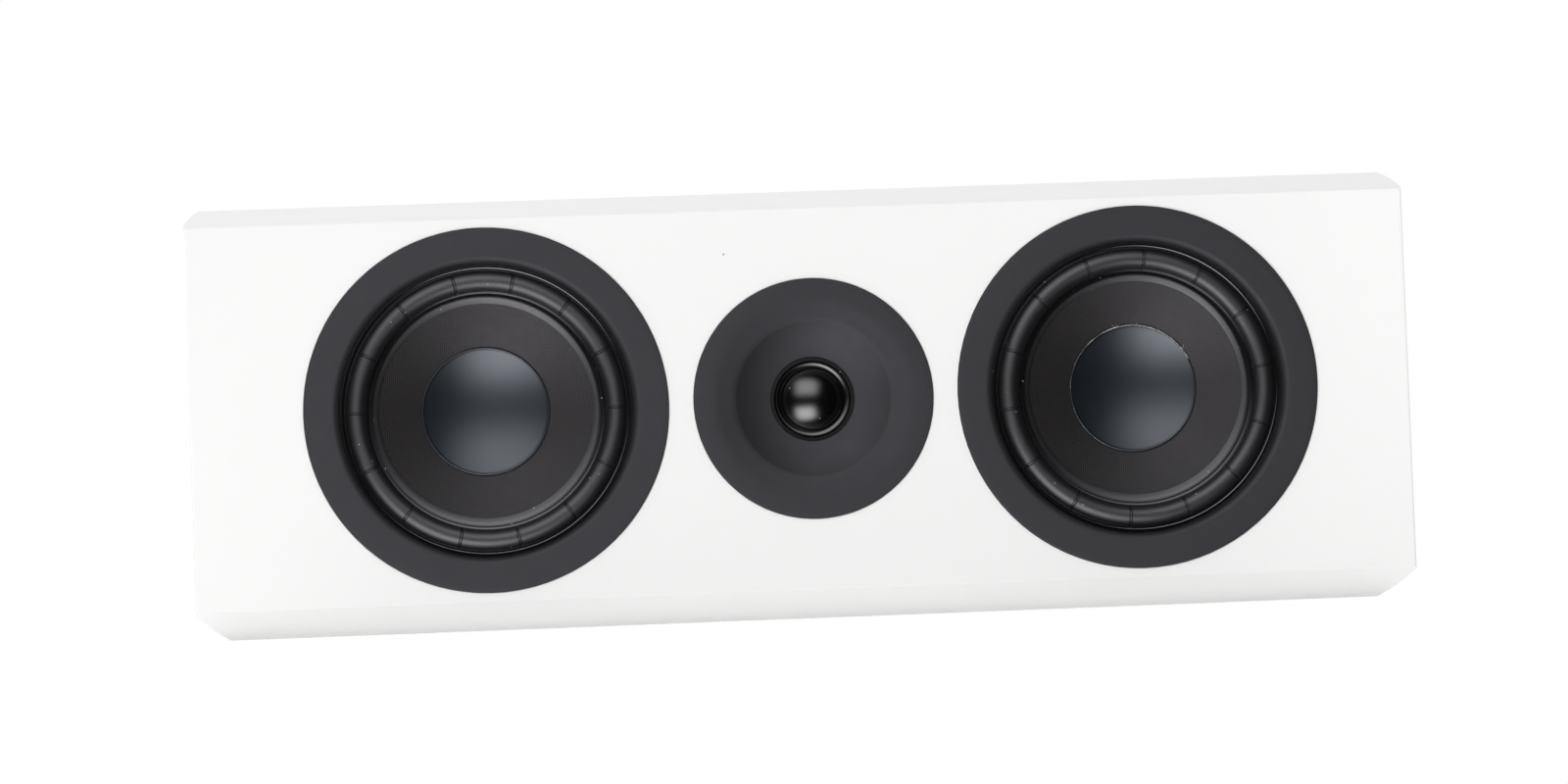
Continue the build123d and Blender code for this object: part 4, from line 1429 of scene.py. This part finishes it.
@dataclass
class SolidParts:
    """The CAD nodes that keep their shape: the cabinet, the motors and the crossover."""

    def dress(self, book: FinishBook) -> list[str]:
        """Give each node the finish of its slot.

        Args:
            book: The finishes.

        Returns:
            The nodes that were dressed.
        """
        names = []
        for row in frame["record"]["subparts"]:
            node = row["node"]
            book.dress(frame["nodes"][node], Slot(row["material_slot"]))
            names.append(node)
        return names


@dataclass
class SoftBox:
    """A large soft lamp on a stand, turned to the speaker's front."""

    name: str
    azimuth: float
    elevation: float
    width: float
    height: float
    radiance: float
    distance: float = 2.0
    soft_edge: float = 0.4

    def build(self, target: Vector) -> bpy.types.Object:
        """Set up the lamp, facing the target."""
        azimuth, elevation = math.radians(self.azimuth), math.radians(self.elevation)
        level = math.cos(elevation)
        away = Vector((math.sin(azimuth) * level, -math.cos(azimuth) * level, math.sin(elevation)))
        data = bpy.data.lights.new(self.name, "AREA")
        data.shape = "RECTANGLE"
        data.size, data.size_y = self.width, self.height
        data.energy = self.radiance * self.width * self.height * math.pi
        self.soften(data)
        lamp = bpy.data.objects.new(self.name, data)
        lamp.location = target + away * self.distance
        lamp.rotation_euler = away.to_track_quat("Z", "Y").to_euler()
        lamp.visible_camera = False
        bpy.context.scene.collection.objects.link(lamp)
        return lamp

    def soften(self, data: bpy.types.Light) -> None:
        """Let the lamp's cloth glow less towards its edges."""
        data.use_nodes = True
        tree = data.node_tree
        place = tree.nodes.new("ShaderNodeNewGeometry")
        split = tree.nodes.new("ShaderNodeSeparateXYZ")
        tree.links.new(place.outputs["Parametric"], split.inputs[0])
        level = tree.nodes.new("ShaderNodeMath")
        level.operation = "MULTIPLY"
        for index, axis in enumerate("XY"):
            inward = tree.nodes.new("ShaderNodeMath")
            inward.operation = "PINGPONG"
            inward.inputs[1].default_value = 0.5
            tree.links.new(split.outputs[axis], inward.inputs[0])
            rise = tree.nodes.new("ShaderNodeMapRange")
            rise.interpolation_type = "SMOOTHSTEP"
            rise.inputs["From Max"].default_value = self.soft_edge
            tree.links.new(inward.outputs[0], rise.inputs["Value"])
            tree.links.new(rise.outputs["Result"], level.inputs[index])
        tree.links.new(level.outputs[0], tree.nodes["Emission"].inputs["Strength"])


@dataclass
class Studio:
    """Camera, soft light, pale floor and white surroundings."""

    lens: float = 131.155
    camera_place: tuple[float, float, float] = (-0.179861, -2.436669, 0.0123)
    yaw: float = 0.073672
    pitch: float = 0.034500
    roll: float = -0.038461
    front_ambient: float = 0.20
    back_ambient: float = 1.1
    ambient_from: float = -0.5
    ambient_to: float = 0.1
    floor_size: float = 12.0
    floor_pale: float = 0.5
    floor_glow: float = 0.6
    floor_bounce: float = 0.9
    fade_reach: float = 0.25
    drape_radius: float = 3.0
    drape_shade: float = 0.004
    drape_steps: int = 24
    drape_back: float = 0.2
    boxes: tuple[SoftBox, ...] = (
        SoftBox("upper_soft_box", -15, 35, 3.6, 2.6, 1.95),
        SoftBox("lower_soft_box", -21, -38, 3.0, 2.05, 3.8),
    )

    def build(self) -> None:
        """Set up the whole studio."""
        self.camera()
        self.world()
        self.floor()
        self.drape()
        target = middle_of("tweeter_guide")
        for box in self.boxes:
            box.build(target)
        bpy.context.scene.view_settings.view_transform = "Standard"

    def camera(self) -> None:
        """Camera where the photograph was taken from."""
        data = bpy.data.cameras.new("camera")
        data.sensor_width = 36.0
        data.lens = self.lens
        data.clip_end = 100.0
        ahead = Vector(
            (
                math.sin(self.yaw) * math.cos(self.pitch),
                math.cos(self.yaw) * math.cos(self.pitch),
                math.sin(self.pitch),
            )
        )
        level = ahead.cross(Vector((0, 0, 1))).normalized()
        above = level.cross(ahead)
        right = math.cos(self.roll) * level + math.sin(self.roll) * above
        up = math.cos(self.roll) * above - math.sin(self.roll) * level
        turn = Matrix((right, up, -ahead)).transposed()
        camera = bpy.data.objects.new("camera", data)
        camera.matrix_world = Matrix.Translation(self.camera_place) @ turn.to_4x4()
        bpy.context.scene.collection.objects.link(camera)
        bpy.context.scene.camera = camera

    def seen_directly(self, tree: bpy.types.NodeTree) -> Socket:
        """Socket that is 1 for rays from the camera, mirrored rays and rays through glass."""
        path = tree.nodes.new("ShaderNodeLightPath")
        first = tree.nodes.new("ShaderNodeMath")
        first.operation = "MAXIMUM"
        second = tree.nodes.new("ShaderNodeMath")
        second.operation = "MAXIMUM"
        tree.links.new(path.outputs["Is Camera Ray"], first.inputs[0])
        tree.links.new(path.outputs["Is Glossy Ray"], first.inputs[1])
        tree.links.new(first.outputs[0], second.inputs[0])
        tree.links.new(path.outputs["Is Transmission Ray"], second.inputs[1])
        return second.outputs[0]

    def world(self) -> None:
        """White to the eye, and a soft glow on the object, weaker on the camera's side."""
        world = bpy.data.worlds.new("surroundings")
        bpy.context.scene.world = world
        world.use_nodes = True
        tree = world.node_tree
        tree.nodes.clear()
        shown = tree.nodes.new("ShaderNodeBackground")
        shown.inputs["Strength"].default_value = 1.0
        shown.inputs["Color"].default_value = (1.0, 1.0, 1.0, 1.0)
        glow = tree.nodes.new("ShaderNodeBackground")
        glow.inputs["Color"].default_value = (1.0, 1.0, 1.0, 1.0)
        place = tree.nodes.new("ShaderNodeTexCoord")
        split = tree.nodes.new("ShaderNodeSeparateXYZ")
        tree.links.new(place.outputs["Generated"], split.inputs[0])
        level = tree.nodes.new("ShaderNodeMapRange")
        level.inputs["From Min"].default_value = self.ambient_from
        level.inputs["From Max"].default_value = self.ambient_to
        level.inputs["To Min"].default_value = self.front_ambient
        level.inputs["To Max"].default_value = self.back_ambient
        tree.links.new(split.outputs["Y"], level.inputs["Value"])
        tree.links.new(level.outputs["Result"], glow.inputs["Strength"])
        mix = tree.nodes.new("ShaderNodeMixShader")
        out = tree.nodes.new("ShaderNodeOutputWorld")
        tree.links.new(self.seen_directly(tree), mix.inputs[0])
        tree.links.new(glow.outputs[0], mix.inputs[1])
        tree.links.new(shown.outputs[0], mix.inputs[2])
        tree.links.new(mix.outputs[0], out.inputs[0])

    def floor(self) -> Piece:
        """Pale floor that takes the speaker's shadow and fades to white away from it."""
        mesh = bmesh.new()
        bmesh.ops.create_grid(mesh, x_segments=1, y_segments=1, size=self.floor_size / 2)
        data = bpy.data.meshes.new("floor")
        mesh.to_mesh(data)
        mesh.free()
        floor = bpy.data.objects.new("floor", data)
        bpy.context.scene.collection.objects.link(floor)
        data.materials.append(self.floor_finish())
        floor.visible_shadow = False
        floor.visible_glossy = False
        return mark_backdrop(floor)

    def floor_finish(self) -> bpy.types.Material:
        """Matt white, partly lit from within, and wholly so far from the speaker."""
        material = bpy.data.materials.new("pale_floor")
        material.use_nodes = True
        tree = material.node_tree
        tree.nodes.clear()
        matt = tree.nodes.new("ShaderNodeBsdfDiffuse")
        matt.inputs["Color"].default_value = (self.floor_pale, self.floor_pale, self.floor_pale, 1.0)
        glow = tree.nodes.new("ShaderNodeEmission")
        glow.inputs["Strength"].default_value = self.floor_glow
        near = tree.nodes.new("ShaderNodeAddShader")
        tree.links.new(matt.outputs[0], near.inputs[0])
        tree.links.new(glow.outputs[0], near.inputs[1])
        white = tree.nodes.new("ShaderNodeEmission")
        white.inputs["Strength"].default_value = 1.0
        place = tree.nodes.new("ShaderNodeTexCoord")
        low, high = (Vector(corner) for corner in CAD_BOX)
        away = place.outputs["Object"]
        for operation, value in (
            ("SUBTRACT", (low + high) / 2),
            ("ABSOLUTE", None),
            ("SUBTRACT", (high - low) / 2),
            ("MAXIMUM", Vector((0.0, 0.0, 0.0))),
            ("LENGTH", None),
        ):
            step = tree.nodes.new("ShaderNodeVectorMath")
            step.operation = operation
            tree.links.new(away, step.inputs[0])
            if value is not None:
                step.inputs[1].default_value = value
            away = step.outputs["Value" if operation == "LENGTH" else "Vector"]
        fade = tree.nodes.new("ShaderNodeMapRange")
        fade.interpolation_type = "SMOOTHSTEP"
        fade.inputs["From Max"].default_value = self.fade_reach
        tree.links.new(away, fade.inputs["Value"])
        faded = tree.nodes.new("ShaderNodeMixShader")
        tree.links.new(fade.outputs["Result"], faded.inputs[0])
        tree.links.new(near.outputs[0], faded.inputs[1])
        tree.links.new(white.outputs[0], faded.inputs[2])
        plain = tree.nodes.new("ShaderNodeBsdfDiffuse")
        plain.inputs["Color"].default_value = (self.floor_bounce, self.floor_bounce, self.floor_bounce, 1.0)
        mix = tree.nodes.new("ShaderNodeMixShader")
        tree.links.new(self.seen_directly(tree), mix.inputs[0])
        tree.links.new(plain.outputs[0], mix.inputs[1])
        tree.links.new(faded.outputs[0], mix.inputs[2])
        out = tree.nodes.new("ShaderNodeOutputMaterial")
        tree.links.new(mix.outputs[0], out.inputs[0])
        return material

    def drape(self) -> Piece:
        """Dark drape before the speaker, which only its reflections see."""
        mesh = bmesh.new()
        steps = self.drape_steps
        bmesh.ops.create_uvsphere(mesh, u_segments=2 * steps, v_segments=steps, radius=self.drape_radius)
        behind = [vertex for vertex in mesh.verts if vertex.co.y > self.drape_back * self.drape_radius]
        bmesh.ops.delete(mesh, geom=behind, context="VERTS")
        data = bpy.data.meshes.new("drape")
        mesh.to_mesh(data)
        mesh.free()
        material = bpy.data.materials.new("dark_drape")
        material.use_nodes = True
        material.node_tree.nodes.clear()
        glow = material.node_tree.nodes.new("ShaderNodeEmission")
        glow.inputs["Strength"].default_value = self.drape_shade
        out = material.node_tree.nodes.new("ShaderNodeOutputMaterial")
        material.node_tree.links.new(glow.outputs[0], out.inputs[0])
        data.materials.append(material)
        drape = bpy.data.objects.new("drape", data)
        bpy.context.scene.collection.objects.link(drape)
        drape.visible_camera = False
        drape.visible_diffuse = False
        drape.visible_shadow = False
        drape.visible_transmission = False
        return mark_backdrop(drape)


def main() -> None:
    """Build the speaker's classes in order, and say what each made."""
    logging.basicConfig(level=logging.INFO, format="%(name)s: %(message)s")
    Studio().build()
    front = corners_of("front_baffle")[0].y
    book = FinishBook(speck=(-0.0307, front, 0.150))
    for node in SolidParts().dress(book):
        log.info("finish on %s", node)
    right_woofer = Woofer(Side.RIGHT, crease_start=7.7)
    assemblies = (
        Woofer(Side.LEFT, crease_start=-0.5),
        right_woofer,
        CapLint(right_woofer),
        Tweeter(),
        TerminalPanel(),
        DampingPads(),
    )
    for assembly in assemblies:
        for piece in assembly.build(book):
            log.info("made %s", piece.name)
    boxes = {"cad": CAD_BOX, "visual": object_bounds()}
    {name: [[float(v) for v in corner] for corner in box] for name, box in boxes.items()}


if __name__ == "__main__":
    main()
